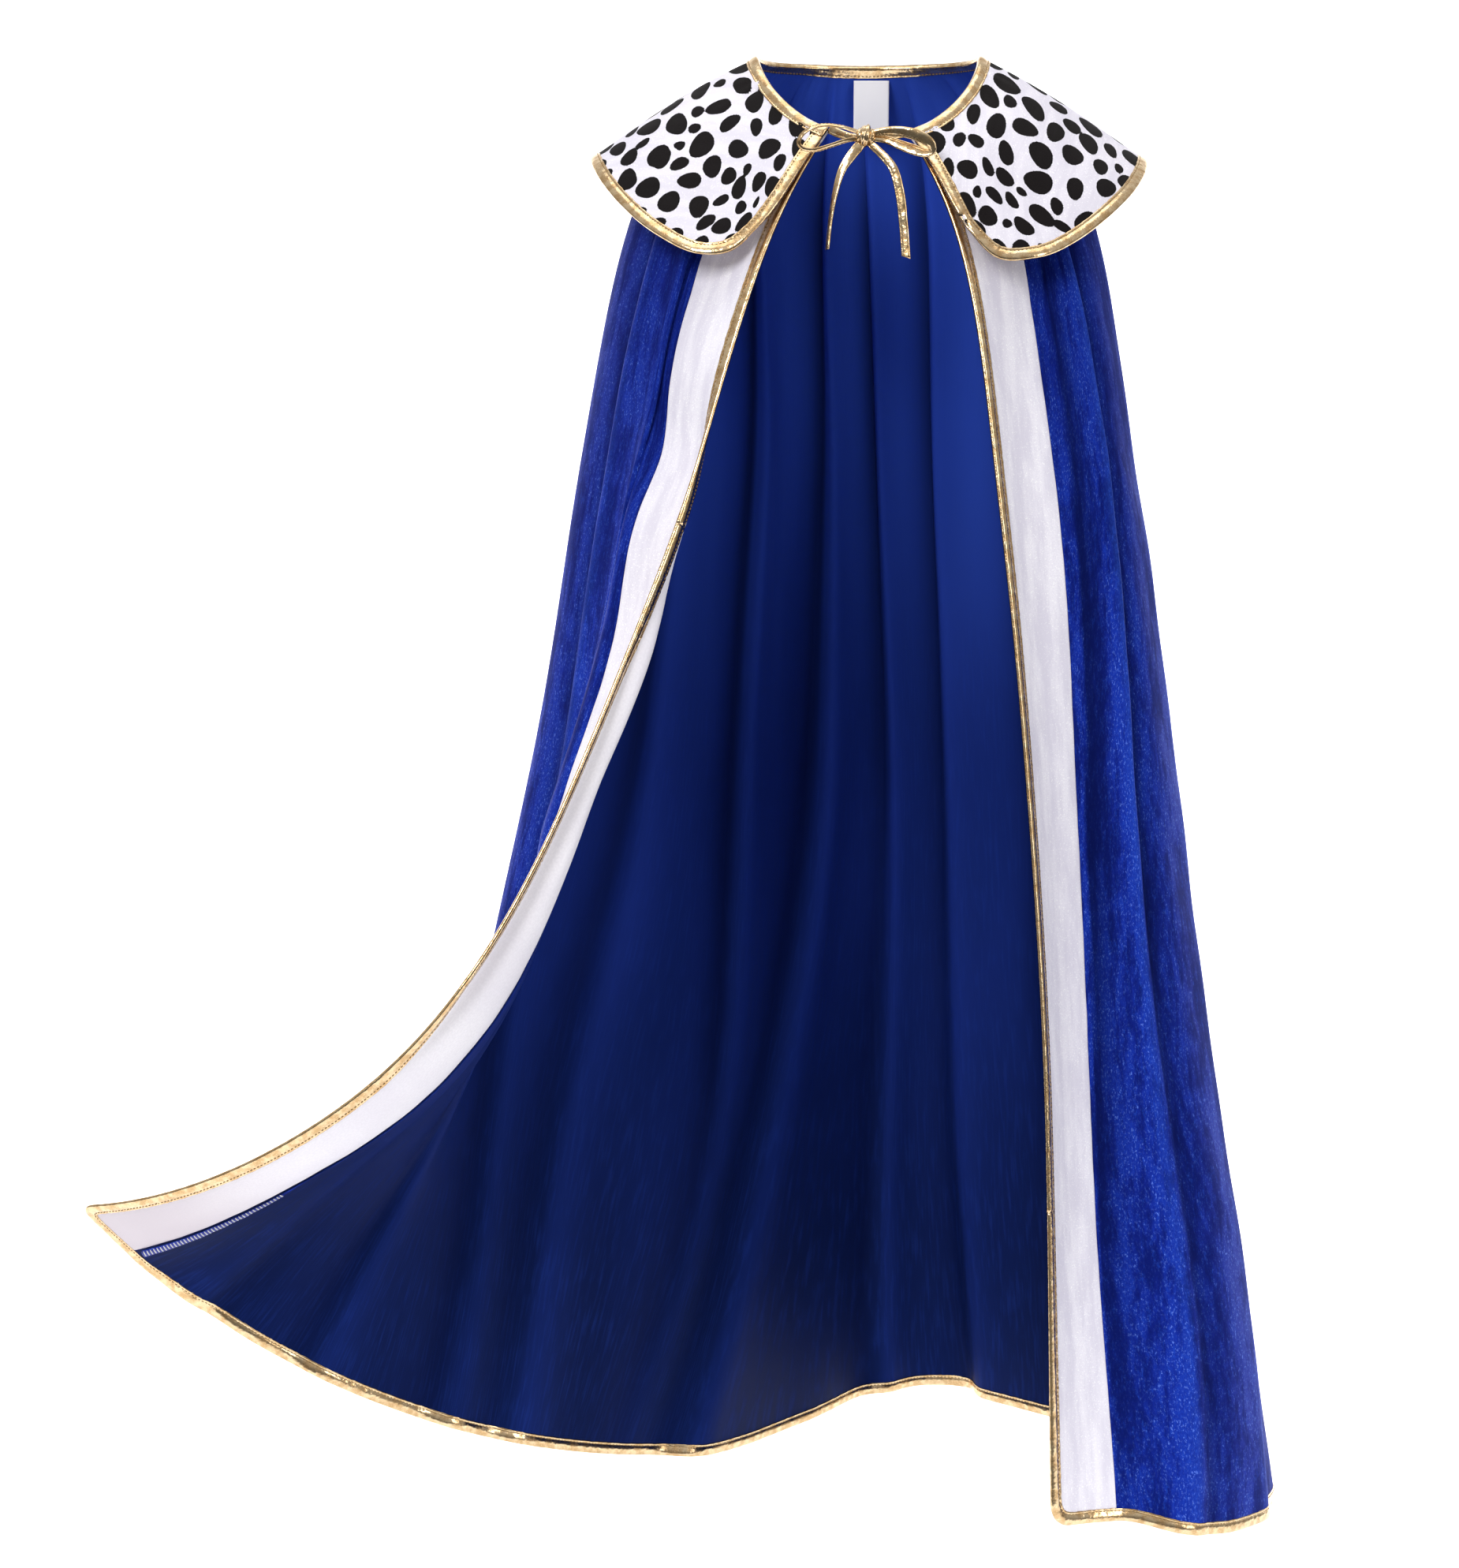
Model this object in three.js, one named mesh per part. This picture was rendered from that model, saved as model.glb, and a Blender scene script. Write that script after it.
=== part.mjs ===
// A child's king cape, worn open and swept out on the wearer's right: a velvet body with two white
// front bands, a flat spotted collar, gold tape bound over every edge, and a gold tape bow at the neck.
// Millimetres, +Z up. The origin is the middle of the neck opening; the front faces -Y and the
// wearer's right hand is towards -X.
import * as THREE from 'three';
import { mergeVertices } from 'three/addons/utils/BufferGeometryUtils.js';

// Cloth and tape
const CLOTH = 1.6;
const SEAM_GAP = 0.3;
const TAPE = 0.6;
const TAPE_WIDTH = 9;
const BAND_WIDTH = 52;
const BODY_WIDTH = 1285;
const LABEL = { width: 25, height: 38, thickness: 0.8, lean: 14, sideways: -1, behindNeck: 4.4, belowNeck: 8.6 };

// The neck opening: an oval ring, level at the back and dipping at the front
const NECK = { halfWidth: 76, back: 60, front: 66, height: 22, dip: 67, dipPower: 1.3 };
const SEAM_ANGLE = { right: 212, left: -34 };
const NECK_FADE = 0.1;

// Guide lines that hang from the neck: place is in mm of cloth along the hem from the right band's
// seam, angle is round the neck (0 is the wearer's left, 90 the back), length is along the cloth,
// lean is from the vertical at LEAN_LEVELS and bearing is in plan at BEARING_LEVELS.
const LEAN_LEVELS = [0, 0.12, 0.35, 0.6, 0.8, 1];
const BEARING_LEVELS = [0, 0.5, 1];
const GUIDE_STEPS = 96;
const GUIDES = [
  { name: 'right_edge', place: -52, angle: 247.6, length: 965, lean: [40, 23, 23, 30, 58, 86], bearing: [218, 201, 142] },
  { name: 'right_front', place: 105, angle: 198, length: 962, lean: [42, 21, 10, 15, 40, 37], bearing: [222, 172, 179] },
  { name: 'right_side', place: 236, angle: 174, length: 989, lean: [63, 24, 9, 12, 9, 10], bearing: [177, 181, 194] },
  { name: 'right_back', place: 450, angle: 129, length: 1021, lean: [67, 11, 6, 2, 3, 2], bearing: [128, 153, 223] },
  { name: 'back', place: 725, angle: 90, length: 1006, lean: [42, 18, 14, 11, 10, 13], bearing: [79, 72, 64] },
  { name: 'left_back', place: 840, angle: 52, length: 1021, lean: [64, 16, 12, 7, 7, 3], bearing: [52, 66, 53] },
  { name: 'left_side', place: 1055, angle: 6, length: 1043, lean: [62, 18, 9, 9, 9, 9], bearing: [0, 22, 15] },
  { name: 'left_front', place: 1235, angle: -18, length: 1008, lean: [38, 19, 7, 5, 7, -2], bearing: [320, 333, 338] },
  { name: 'left_edge', place: 1337, angle: -71, length: 945, lean: [39, 15, 7, 4, 1, 1], bearing: [319, 327, 300] },
];

// How a front band turns about its edge: the direction of the cloth at the edge and at the seam, in
// degrees from the wearer's left towards the back, and where across the band it rolls over.
const RIGHT_TURN = [
  { level: 0, edge: 150, seam: 150, centre: 26, width: 26 },
  { level: 0.12, edge: 140, seam: 140, centre: 26, width: 26 },
  { level: 0.2, edge: 133, seam: 133, centre: 24, width: 26 },
  { level: 0.3, edge: 35, seam: 148, centre: 10, width: 22 },
  { level: 0.4, edge: 8, seam: 150, centre: 17, width: 22 },
  { level: 0.5, edge: 36, seam: 140, centre: 22, width: 22 },
  { level: 0.55, edge: 34, seam: 140, centre: 26, width: 22 },
  { level: 0.61, edge: 38, seam: 98, centre: 31, width: 22 },
  { level: 0.7, edge: 39, seam: 80, centre: 33, width: 22 },
  { level: 0.85, edge: 39, seam: 78, centre: 29, width: 22 },
  { level: 1, edge: 46, seam: 46, centre: 26, width: 26 },
];
const LEFT_TURN = [
  { level: 0, edge: 20, seam: 20, centre: 26, width: 30 },
  { level: 0.12, edge: 42, seam: 32, centre: 26, width: 40 },
  { level: 0.3, edge: 50, seam: 22, centre: 26, width: 40 },
  { level: 0.5, edge: 60, seam: 34, centre: 26, width: 40 },
  { level: 0.8, edge: 60, seam: 34, centre: 26, width: 40 },
  { level: 1, edge: 36, seam: 20, centre: 26, width: 40 },
];
const BAND_STEPS = 26;
const EDGE_REACH = 0.004;

// Folds that fall from the neck pleats: place along the hem at PLACE_LEVELS, depth in mm at
// DEPTH_LEVELS, positive where the cloth past the fold lies nearer the wearer, and width in hem mm.
const PLACE_LEVELS = [0, 0.3, 0.55, 0.8, 1];
const DEPTH_LEVELS = [0.012, 0.07, 0.3, 0.55, 0.8, 1];
const FOLDS = [
  { name: 'right_front', place: [64, 62, 60, 62, 66], depth: [0, -1.2, -2, -2, -2, -4], width: 40 },
  { name: 'right_side_front', place: [160, 160, 156, 150, 150], depth: [0, 1.6, 3, 4, 4, 5], width: 46 },
  { name: 'right_side_back', place: [300, 296, 290, 272, 256], depth: [0, 2, 4, 5, 7, 9], width: 52 },
  { name: 'right_back_soft', place: [410, 392, 379, 331, 305], depth: [0, 2.2, 4, 6, 7, 7], width: 60 },
  { name: 'right_back', place: [520, 506, 496, 470, 400], depth: [0, 3, 8, 7, 4, 3], width: 55 },
  { name: 'back_right', place: [651, 638, 608, 522, 449], depth: [0, 3, 9, 11, 13, 12], width: 60 },
  { name: 'back_middle', place: [716, 711, 703, 672, 648], depth: [0, 3, 8, 8, 8, 8], width: 42 },
  { name: 'back_left', place: [783, 769, 762, 753, 756], depth: [0, 3, 8, 8, 8, 9], width: 42 },
  { name: 'left_back', place: [850, 846, 846, 850, 852], depth: [0, 3, 7, 8, 9, 11], width: 44 },
  { name: 'left_side_back', place: [925, 925, 930, 935, 940], depth: [0, 2.6, 7, 8, 9, 10], width: 46 },
  { name: 'left_side', place: [1000, 998, 1000, 1002, 1004], depth: [0, 2.2, 5, 6, 7, 8], width: 42 },
  { name: 'left_side_front', place: [1116, 1116, 1120, 1124, 1124], depth: [0, -1.6, -3, -4, -4, -6], width: 40 },
  { name: 'left_front', place: [1206, 1212, 1222, 1220, 1214], depth: [0, -2, -6, -6, -5, -5], width: 34 },
];
const FOLD_SHARPNESS = 0.12;
const FOLD_FALL = { rate: 2, power: 1.5 };
const FOLD_FADE = 36;
const FOLD_COLUMN = 0.2;

// Levels of the cloth from the neck to the hem
const ROWS = [0, 0.009, 0.03, 0.065, 0.11, 0.16, 0.21, 0.26, 0.31, 0.36, 0.41, 0.46, 0.51, 0.56, 0.61, 0.66,
  0.72, 0.78, 0.85, 0.92, 0.991, 1];
const RIGHT_BAND_COLUMNS = [0, 9, 16, 22, 28, 34, 40, 46];
const LEFT_BAND_COLUMNS = [0, 9, 24, 38];
const WIDEST_COLUMN = 32;
const CORNER_PULL = 0.3;

// The collar's ribs, from the right front edge round the back to the left front edge
const RIB_STEPS = 24;
const RIB_LEVELS = [0, 0.5, 1];
const RIBS = [
  { angle: 247.6, length: 95, lean: [49, 36, 45], bearing: [225, 208] },
  { angle: 240, length: 114, lean: [46, 36, 34], bearing: [223, 209] },
  { angle: 231, length: 129, lean: [43, 37, 42], bearing: [226, 202] },
  { angle: 218, length: 137, lean: [44, 40, 56], bearing: [224, 190] },
  { angle: 203, length: 138, lean: [52, 48, 50], bearing: [212, 181] },
  { angle: 182, length: 136, lean: [66, 57, 55], bearing: [184, 176] },
  { angle: 150, length: 134, lean: [78, 60, 52], bearing: [152, 158] },
  { angle: 120, length: 132, lean: [74, 58, 50], bearing: [121, 124] },
  { angle: 90, length: 132, lean: [64, 55, 48], bearing: [90, 90] },
  { angle: 60, length: 132, lean: [74, 58, 50], bearing: [59, 56] },
  { angle: 30, length: 134, lean: [78, 60, 52], bearing: [28, 22] },
  { angle: -2, length: 138, lean: [66, 57, 55], bearing: [2, 4] },
  { angle: -22, length: 138, lean: [52, 46, 52], bearing: [-30, -2] },
  { angle: -38, length: 136, lean: [44, 36, 50], bearing: [-57, -1] },
  { angle: -52, length: 127, lean: [45, 33, 38], bearing: [-52, -20] },
  { angle: -63, length: 110, lean: [44, 31, 30], bearing: [-52, -30] },
  { angle: -71, length: 84, lean: [48, 34, 32], bearing: [-48, -40] },
];
const COLLAR_ROWS = [0, TAPE_WIDTH, 26, 48, 72, 98];
const COLLAR_ROWS_DEPTH = 120;
const COLLAR_LIFT = { back: 2, front: 2.9, frontWidth: 16, settle: 26 };

// The bow: each tape's route, its width and its thickness
const TIE = { width: 6.4, thickness: 1.8 };
const TIE_STEPS_PER_POINT = 3;
const TIE_SECTION = [[1, 0.3], [0.75, 1], [-0.75, 1], [-1, 0.3], [-1, -0.3], [-0.75, -1], [0.75, -1], [1, -0.3]];
const KNOT = { centre: [-4.5, -78, -46], radius: [6.2, 5.4, 5.2], sides: 14, rings: 9 };
const TIE_ROUTES = {
  tie_link_right: [[-28.4, -65.6, -37.6], [-22, -69.6, -41.5], [-11.6, -74.8, -45.4]],
  tie_link_left: [[24.6, -66.4, -40], [15, -70, -43], [2.8, -74.8, -45.8]],
  bow_loop_right: [[-10.6, -80.8, -42.6], [-21, -85.5, -38.5], [-34, -86.5, -37.6], [-46, -84.5, -43],
    [-49.5, -82.5, -50.5], [-42, -79.5, -55.5], [-27, -77.8, -52], [-10.9, -77.2, -48]],
  bow_loop_left: [[1.7, -80.8, -43], [12, -85.5, -38.5], [24.5, -88, -40.5], [38, -87, -47.5],
    [43.5, -85, -55], [37, -82.5, -62], [21, -79.6, -57], [1.9, -77.2, -48]],
  tie_tail_right: [[-8.1, -80.2, -50.5], [-13.8, -81, -57.6], [-20.5, -81.5, -68], [-25.2, -81, -84],
    [-28.3, -80.2, -102], [-30.2, -80, -121]],
  tie_tail_left: [[-0.9, -80.2, -50.5], [5.6, -82.4, -57], [13.5, -84.5, -67], [18.2, -85, -84],
    [20.6, -84.6, -104], [22.4, -84.4, -127]],
};

const COLOURS = { velvet: 0x1d2aa8, white: 0xe6e2ee, spotted: 0xe9e6ec, gold: 0xd8b765, label: 0xf1eff2 };

const radians = THREE.MathUtils.degToRad;
const vector = (list) => new THREE.Vector3(list[0], list[1], list[2]);
const moved = (point, direction, distance) => point.clone().addScaledVector(direction, distance);
const column = (table, key) => table.map((row) => row[key]);

// A smooth curve through values at unevenly spaced knots; values are numbers
function smooth(knots, values, at) {
  const last = knots.length - 1;
  const slopes = [];
  for (let i = 0; i < last; i += 1) slopes.push((values[i + 1] - values[i]) / (knots[i + 1] - knots[i]));
  const tangent = (i) => {
    if (i === 0) return slopes[0];
    if (i === last) return slopes[last - 1];
    const before = knots[i] - knots[i - 1];
    const after = knots[i + 1] - knots[i];
    return (slopes[i - 1] * after + slopes[i] * before) / (before + after);
  };
  let i = 0;
  while (i < last - 1 && at >= knots[i + 1]) i += 1;
  const span = knots[i + 1] - knots[i];
  const t = THREE.MathUtils.clamp((at - knots[i]) / span, 0, 1);
  return (1 + 2 * t) * (1 - t) ** 2 * values[i] + t * (1 - t) ** 2 * span * tangent(i)
    + t * t * (3 - 2 * t) * values[i + 1] + t * t * (t - 1) * span * tangent(i + 1);
}

function neckRing(angle) {
  const across = Math.cos(radians(angle));
  const back = Math.sin(radians(angle));
  const drop = NECK.dip * Math.max(-back, 0) ** NECK.dipPower;
  return new THREE.Vector3(NECK.halfWidth * across, (back >= 0 ? NECK.back : NECK.front) * back, NECK.height - drop);
}

// A line that starts on the neck ring and runs down by its lean and bearing; returns a point at a level
function hangingLine(angle, length, steps, leanAt, bearingAt) {
  const points = [neckRing(angle)];
  for (let i = 0; i < steps; i += 1) {
    const level = (i + 0.5) / steps;
    const lean = radians(leanAt(level));
    const bearing = radians(bearingAt(level));
    const step = new THREE.Vector3(Math.sin(lean) * Math.cos(bearing), Math.sin(lean) * Math.sin(bearing), -Math.cos(lean));
    points.push(moved(points[i], step, length / steps));
  }
  return (level) => {
    const place = THREE.MathUtils.clamp(level, 0, 1) * steps;
    const i = Math.min(Math.floor(place), steps - 1);
    return points[i].clone().lerp(points[i + 1], place - i);
  };
}

const guideLines = GUIDES.map((guide) => hangingLine(guide.angle, guide.length, GUIDE_STEPS,
  (level) => smooth(LEAN_LEVELS, guide.lean, level), (level) => smooth(BEARING_LEVELS, guide.bearing, level)));

// One front band at one level: points across it from the edge to the seam, and its direction there
function bandSection(edgeLine, turn, level) {
  const levels = column(turn, 'level');
  const value = (key) => smooth(levels, column(turn, key), level);
  const along = edgeLine(level + EDGE_REACH).sub(edgeLine(level - EDGE_REACH)).normalize();
  const back = moved(new THREE.Vector3(0, 1, 0), along, -along.y).normalize();
  const left = along.clone().cross(back);
  const step = BAND_WIDTH / BAND_STEPS;
  const direction = (distance) => {
    const t = THREE.MathUtils.clamp((distance - value('centre')) / value('width') + 0.5, 0, 1);
    const angle = radians(value('edge') + (value('seam') - value('edge')) * t * t * (3 - 2 * t));
    return left.clone().multiplyScalar(Math.cos(angle)).addScaledVector(back, Math.sin(angle));
  };
  const points = [edgeLine(level)];
  for (let i = 0; i < BAND_STEPS; i += 1) points.push(moved(points[i], direction((i + 0.5) * step), step));
  const at = (distance) => {
    const place = THREE.MathUtils.clamp(distance / step, 0, BAND_STEPS);
    const i = Math.min(Math.floor(place), BAND_STEPS - 1);
    return points[i].clone().lerp(points[i + 1], place - i);
  };
  return { at, seam: points[BAND_STEPS], seamDirection: direction(BAND_WIDTH) };
}

const bodyGuides = GUIDES.slice(1, -1);
const bodyKnots = [0, ...column(bodyGuides, 'place'), BODY_WIDTH];
const neckKnots = [-BAND_WIDTH, ...bodyKnots, BODY_WIDTH + BAND_WIDTH];
const neckAngles = [GUIDES[0].angle, SEAM_ANGLE.right, ...column(bodyGuides, 'angle'), SEAM_ANGLE.left,
  GUIDES[GUIDES.length - 1].angle];
const neckAngleAt = (place) => smooth(neckKnots, neckAngles, place);

// The plain cloth at one level, without folds: a smooth section through the guides and the bands
function clothSection(level) {
  const right = bandSection(guideLines[0], RIGHT_TURN, level);
  const left = bandSection(guideLines[guideLines.length - 1], LEFT_TURN, level);
  const knots = [right.seam, ...guideLines.slice(1, -1).map((line) => line(level)), left.seam];
  const last = knots.length - 1;
  const spans = bodyKnots.slice(1).map((knot, i) => knot - bodyKnots[i]);
  const slopes = spans.map((span, i) => knots[i + 1].clone().sub(knots[i]).divideScalar(span));
  const tangents = knots.map((knot, i) => {
    if (i === 0) return right.seamDirection.clone().multiplyScalar(slopes[0].length());
    if (i === last) return left.seamDirection.clone().multiplyScalar(-slopes[last - 1].length());
    return slopes[i - 1].clone().multiplyScalar(spans[i]).addScaledVector(slopes[i], spans[i - 1])
      .divideScalar(spans[i] + spans[i - 1]);
  });
  return (place) => {
    if (place <= 0) return right.at(place + BAND_WIDTH);
    if (place >= BODY_WIDTH) return left.at(BODY_WIDTH + BAND_WIDTH - place);
    let i = 0;
    while (i < last - 1 && place >= bodyKnots[i + 1]) i += 1;
    const t = (place - bodyKnots[i]) / spans[i];
    return knots[i].clone().multiplyScalar((1 + 2 * t) * (1 - t) ** 2)
      .addScaledVector(tangents[i], t * (1 - t) ** 2 * spans[i])
      .addScaledVector(knots[i + 1], t * t * (3 - 2 * t))
      .addScaledVector(tangents[i + 1], t * t * (t - 1) * spans[i]);
  };
}

const sectionAtNeck = clothSection(0);
function clothPoint(section, place, level) {
  const fade = Math.max(1 - level / NECK_FADE, 0) ** 2;
  const correction = neckRing(neckAngleAt(place)).sub(sectionAtNeck(place));
  return section(place).addScaledVector(correction, fade);
}

// Columns lie on the folds and follow them as they drift along the hem
const foldPlace = (fold, level) => smooth(PLACE_LEVELS, fold.place, level);
function placeAt(place, level) {
  const rest = [0, ...FOLDS.map((fold) => fold.place[0]), BODY_WIDTH];
  const now = [0, ...FOLDS.map((fold) => foldPlace(fold, level)), BODY_WIDTH];
  if (place <= 0 || place >= BODY_WIDTH) return place;
  let i = 0;
  while (place >= rest[i + 1]) i += 1;
  return now[i] + (now[i + 1] - now[i]) * (place - rest[i]) / (rest[i + 1] - rest[i]);
}

function foldDepth(place, level) {
  let depth = 0;
  FOLDS.forEach((fold) => {
    const x = (place - foldPlace(fold, level)) / fold.width;
    const size = smooth(DEPTH_LEVELS, fold.depth, Math.max(level, DEPTH_LEVELS[0]));
    depth -= size * Math.tanh(x / FOLD_SHARPNESS) * Math.exp(-FOLD_FALL.rate * Math.abs(x) ** FOLD_FALL.power);
  });
  const edge = THREE.MathUtils.clamp(Math.min(place, BODY_WIDTH - place) / FOLD_FADE, 0, 1);
  return depth * edge * edge * (3 - 2 * edge);
}

function bodyColumns() {
  const marks = [0, BODY_WIDTH];
  FOLDS.forEach((fold) => {
    const beside = FOLD_COLUMN * fold.width;
    marks.push(fold.place[0] - beside, fold.place[0] + beside);
  });
  marks.sort((a, b) => a - b);
  const places = [0];
  for (let i = 1; i < marks.length; i += 1) {
    const parts = Math.ceil((marks[i] - marks[i - 1]) / WIDEST_COLUMN);
    for (let k = 1; k <= parts; k += 1) places.push(marks[i - 1] + (marks[i] - marks[i - 1]) * k / parts);
  }
  return places;
}

// Outward normals of a grid whose columns run round the wearer and whose rows run down
function gridNormals(grid) {
  const pick = (i, j) => grid[THREE.MathUtils.clamp(i, 0, grid.length - 1)][THREE.MathUtils.clamp(j, 0, grid[0].length - 1)];
  return grid.map((row, i) => row.map((point, j) => {
    const across = pick(i, j + 1).clone().sub(point).normalize().add(point.clone().sub(pick(i, j - 1)).normalize());
    const down = pick(i + 1, j).clone().sub(pick(i - 1, j));
    return across.cross(down).normalize();
  }));
}

const bodyPlaces = bodyColumns();
const places = [...RIGHT_BAND_COLUMNS.map((t) => t - BAND_WIDTH), ...bodyPlaces,
  ...LEFT_BAND_COLUMNS.map((t) => BODY_WIDTH + BAND_WIDTH - t).reverse()];
const FIRST_BODY = RIGHT_BAND_COLUMNS.length;
const LAST_BODY = FIRST_BODY + bodyPlaces.length - 1;
const LAST_COLUMN = places.length - 1;
const LAST_ROW = ROWS.length - 1;

function clothGrid() {
  const plain = ROWS.map((level) => {
    const section = clothSection(level);
    return places.map((place) => clothPoint(section, placeAt(place, level), level));
  });
  const normals = gridNormals(plain);
  const grid = plain.map((row, i) => row.map((point, j) => moved(point, normals[i][j],
    foldDepth(placeAt(places[j], ROWS[i]), ROWS[i]))));
  const corner = (j, next) => {
    const inside = grid[LAST_ROW - 1][next];
    grid[LAST_ROW][j].lerp(inside, CORNER_PULL);
  };
  corner(0, 1);
  corner(LAST_COLUMN, LAST_COLUMN - 1);
  return grid;
}

const cloth = clothGrid();
const clothNormals = gridNormals(cloth);

// A closed wall from an outer and an inner grid of points. Every cell is split from its upper right to
// its lower left corner, but one that turns a tape's far corner is split the other way.
function wallGeometry(outer, inner, turnsFarCorner) {
  const rows = outer.length;
  const columns = outer[0].length;
  const points = [...outer.flat(), ...inner.flat()];
  const back = rows * columns;
  const index = (i, j) => i * columns + j;
  const triangles = [];
  for (let i = 0; i < rows - 1; i += 1) {
    for (let j = 0; j < columns - 1; j += 1) {
      const [a, b, c, d] = [index(i, j), index(i, j + 1), index(i + 1, j), index(i + 1, j + 1)];
      const corner = turnsFarCorner && i === rows - 2 && j === columns - 2;
      const halves = corner ? [[a, b, d], [a, d, c]] : [[a, b, c], [b, d, c]];
      halves.forEach(([p, q, r]) => triangles.push([p, q, r], [back + p, back + r, back + q]));
    }
  }
  const rim = (p, q) => triangles.push([q, p, back + p], [q, back + p, back + q]);
  const rimSplitAsTheNextWall = (p, q) => triangles.push([q, p, back + q], [p, back + p, back + q]);
  for (let j = 0; j < columns - 1; j += 1) {
    rim(index(0, j), index(0, j + 1));
    rim(index(rows - 1, j + 1), index(rows - 1, j));
  }
  for (let i = 0; i < rows - 1; i += 1) {
    rim(index(i + 1, 0), index(i, 0));
    rimSplitAsTheNextWall(index(i, columns - 1), index(i + 1, columns - 1));
  }
  return solidGeometry(points, triangles);
}

// A closed geometry: merges equal points, drops flat triangles and turns the faces outwards
function solidGeometry(points, triangles) {
  let volume = 0;
  triangles.forEach(([a, b, c]) => { volume += points[a].dot(points[b].clone().cross(points[c])); });
  const turned = volume > 0 ? triangles : triangles.map(([a, b, c]) => [a, c, b]);
  const geometry = new THREE.BufferGeometry();
  geometry.setAttribute('position', new THREE.Float32BufferAttribute(points.flatMap((p) => p.toArray()), 3));
  geometry.setIndex(turned.flat());
  const merged = mergeVertices(geometry, 1e-3);
  const corners = merged.index.array;
  const kept = [];
  for (let i = 0; i < corners.length; i += 3) {
    const [a, b, c] = [corners[i], corners[i + 1], corners[i + 2]];
    if (a !== b && b !== c && c !== a) kept.push(a, b, c);
  }
  merged.setIndex(kept);
  merged.computeVertexNormals();
  return merged;
}

// The direction across a seam, the same for the pieces on both of its sides
function acrossSeam(row, j) {
  const before = row[j].clone().sub(row[j - 1]).normalize();
  const after = row[j + 1].clone().sub(row[j]).normalize();
  return before.add(after).normalize();
}

// A wall of cloth between two columns of the cape, pulled back by half a gap at its seams
function clothWall(from, to) {
  const seamAtFrom = from > 0;
  const seamAtTo = to < LAST_COLUMN;
  const side = (offset) => cloth.map((row, i) => {
    const line = [];
    for (let j = from; j <= to; j += 1) {
      const point = moved(row[j], clothNormals[i][j], offset);
      if (j === from && seamAtFrom) point.addScaledVector(acrossSeam(row, j), SEAM_GAP / 2);
      if (j === to && seamAtTo) point.addScaledVector(acrossSeam(row, j), -SEAM_GAP / 2);
      line.push(point);
    }
    return line;
  });
  return wallGeometry(side(CLOTH / 2), side(-CLOTH / 2), !seamAtTo);
}

// A swept solid: rings of points joined along their length, with both ends closed
function sweptGeometry(rings, capTriangles, isSplitFromFirst = () => false) {
  const size = rings[0].length;
  const triangles = [];
  for (let k = 0; k < rings.length - 1; k += 1) {
    for (let i = 0; i < size; i += 1) {
      const [a, b] = [k * size + i, k * size + (i + 1) % size];
      if (isSplitFromFirst(k, i)) triangles.push([a, b, b + size], [a, b + size, a + size]);
      else triangles.push([a, b, a + size], [b, b + size, a + size]);
    }
  }
  const end = (rings.length - 1) * size;
  capTriangles.forEach(([a, b, c]) => triangles.push([c, b, a], [end + a, end + b, end + c]));
  return solidGeometry(rings.flat(), triangles);
}

// Tape folded over an edge. A station has the edge point, the point under the tape's inner line, their
// normals, how far the cloth reaches from the edge point on the outer and the inner side, and whether
// the wall's cell beside it is split from the inside point, because the tape's faces split the same way.
const FOLDED_CAP = [[0, 1, 6], [0, 6, 7], [1, 2, 5], [1, 5, 6], [2, 3, 4], [2, 4, 5]];
const SPLIT_FROM_INSIDE = [0, 4];
const SPLIT_FROM_EDGE = [2, 6];
function foldedTape(stations) {
  const rings = stations.map((station) => {
    const { edge, inside, edgeNormal, insideNormal } = station;
    const off = edge.clone().sub(inside).normalize();
    const place = (point, normal, height, past) => moved(point, normal, height).addScaledVector(off, past);
    const outer = station.outer + SEAM_GAP;
    const inner = station.inner + SEAM_GAP;
    return [
      place(inside, insideNormal, outer + TAPE, 0),
      place(edge, edgeNormal, outer + TAPE, SEAM_GAP + TAPE),
      place(edge, edgeNormal, -inner - TAPE, SEAM_GAP + TAPE),
      place(inside, insideNormal, -inner - TAPE, 0),
      place(inside, insideNormal, -inner, 0),
      place(edge, edgeNormal, -inner, SEAM_GAP),
      place(edge, edgeNormal, outer, SEAM_GAP),
      place(inside, insideNormal, outer, 0),
    ];
  });
  return sweptGeometry(rings, FOLDED_CAP,
    (k, i) => (stations[k].fromInside ? SPLIT_FROM_INSIDE : SPLIT_FROM_EDGE).includes(i));
}

// A station on the edge of a sheet: its point (i, j) on the edge and the point just inside it
function edgeStation(sheet, edgeAt, insideAt, fromInside, shift = 0) {
  const { points, normals } = sheet;
  const [i, j] = edgeAt;
  const [insideRow, insideColumn] = insideAt;
  const along = points[Math.min(i + 1, points.length - 1)][j].clone().sub(points[i][j]).normalize();
  return {
    edge: moved(points[i][j], along, shift),
    inside: moved(points[insideRow][insideColumn], along, shift),
    edgeNormal: normals[i][j],
    insideNormal: normals[insideRow][insideColumn],
    outer: CLOTH / 2,
    inner: CLOTH / 2,
    fromInside,
  };
}

// Stations down the right edge, along the lower edge and up the left edge
function stationsRound(sheet, rightRow, leftRow, shift) {
  const last = sheet.points.length - 1;
  const stations = [];
  for (let i = rightRow; i < last; i += 1) {
    stations.push(edgeStation(sheet, [i, 0], [i, 1], true, i === rightRow ? shift : 0));
  }
  stations.push(edgeStation(sheet, [last, 0], [last - 1, 1], false));
  for (let j = 1; j < LAST_COLUMN; j += 1) stations.push(edgeStation(sheet, [last, j], [last - 1, j], false));
  stations.push(edgeStation(sheet, [last, LAST_COLUMN], [last - 1, LAST_COLUMN - 1], true));
  for (let i = last - 1; i >= leftRow; i -= 1) {
    stations.push(edgeStation(sheet, [i, LAST_COLUMN], [i, LAST_COLUMN - 1], true, i === leftRow ? shift : 0));
  }
  return stations;
}

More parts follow.
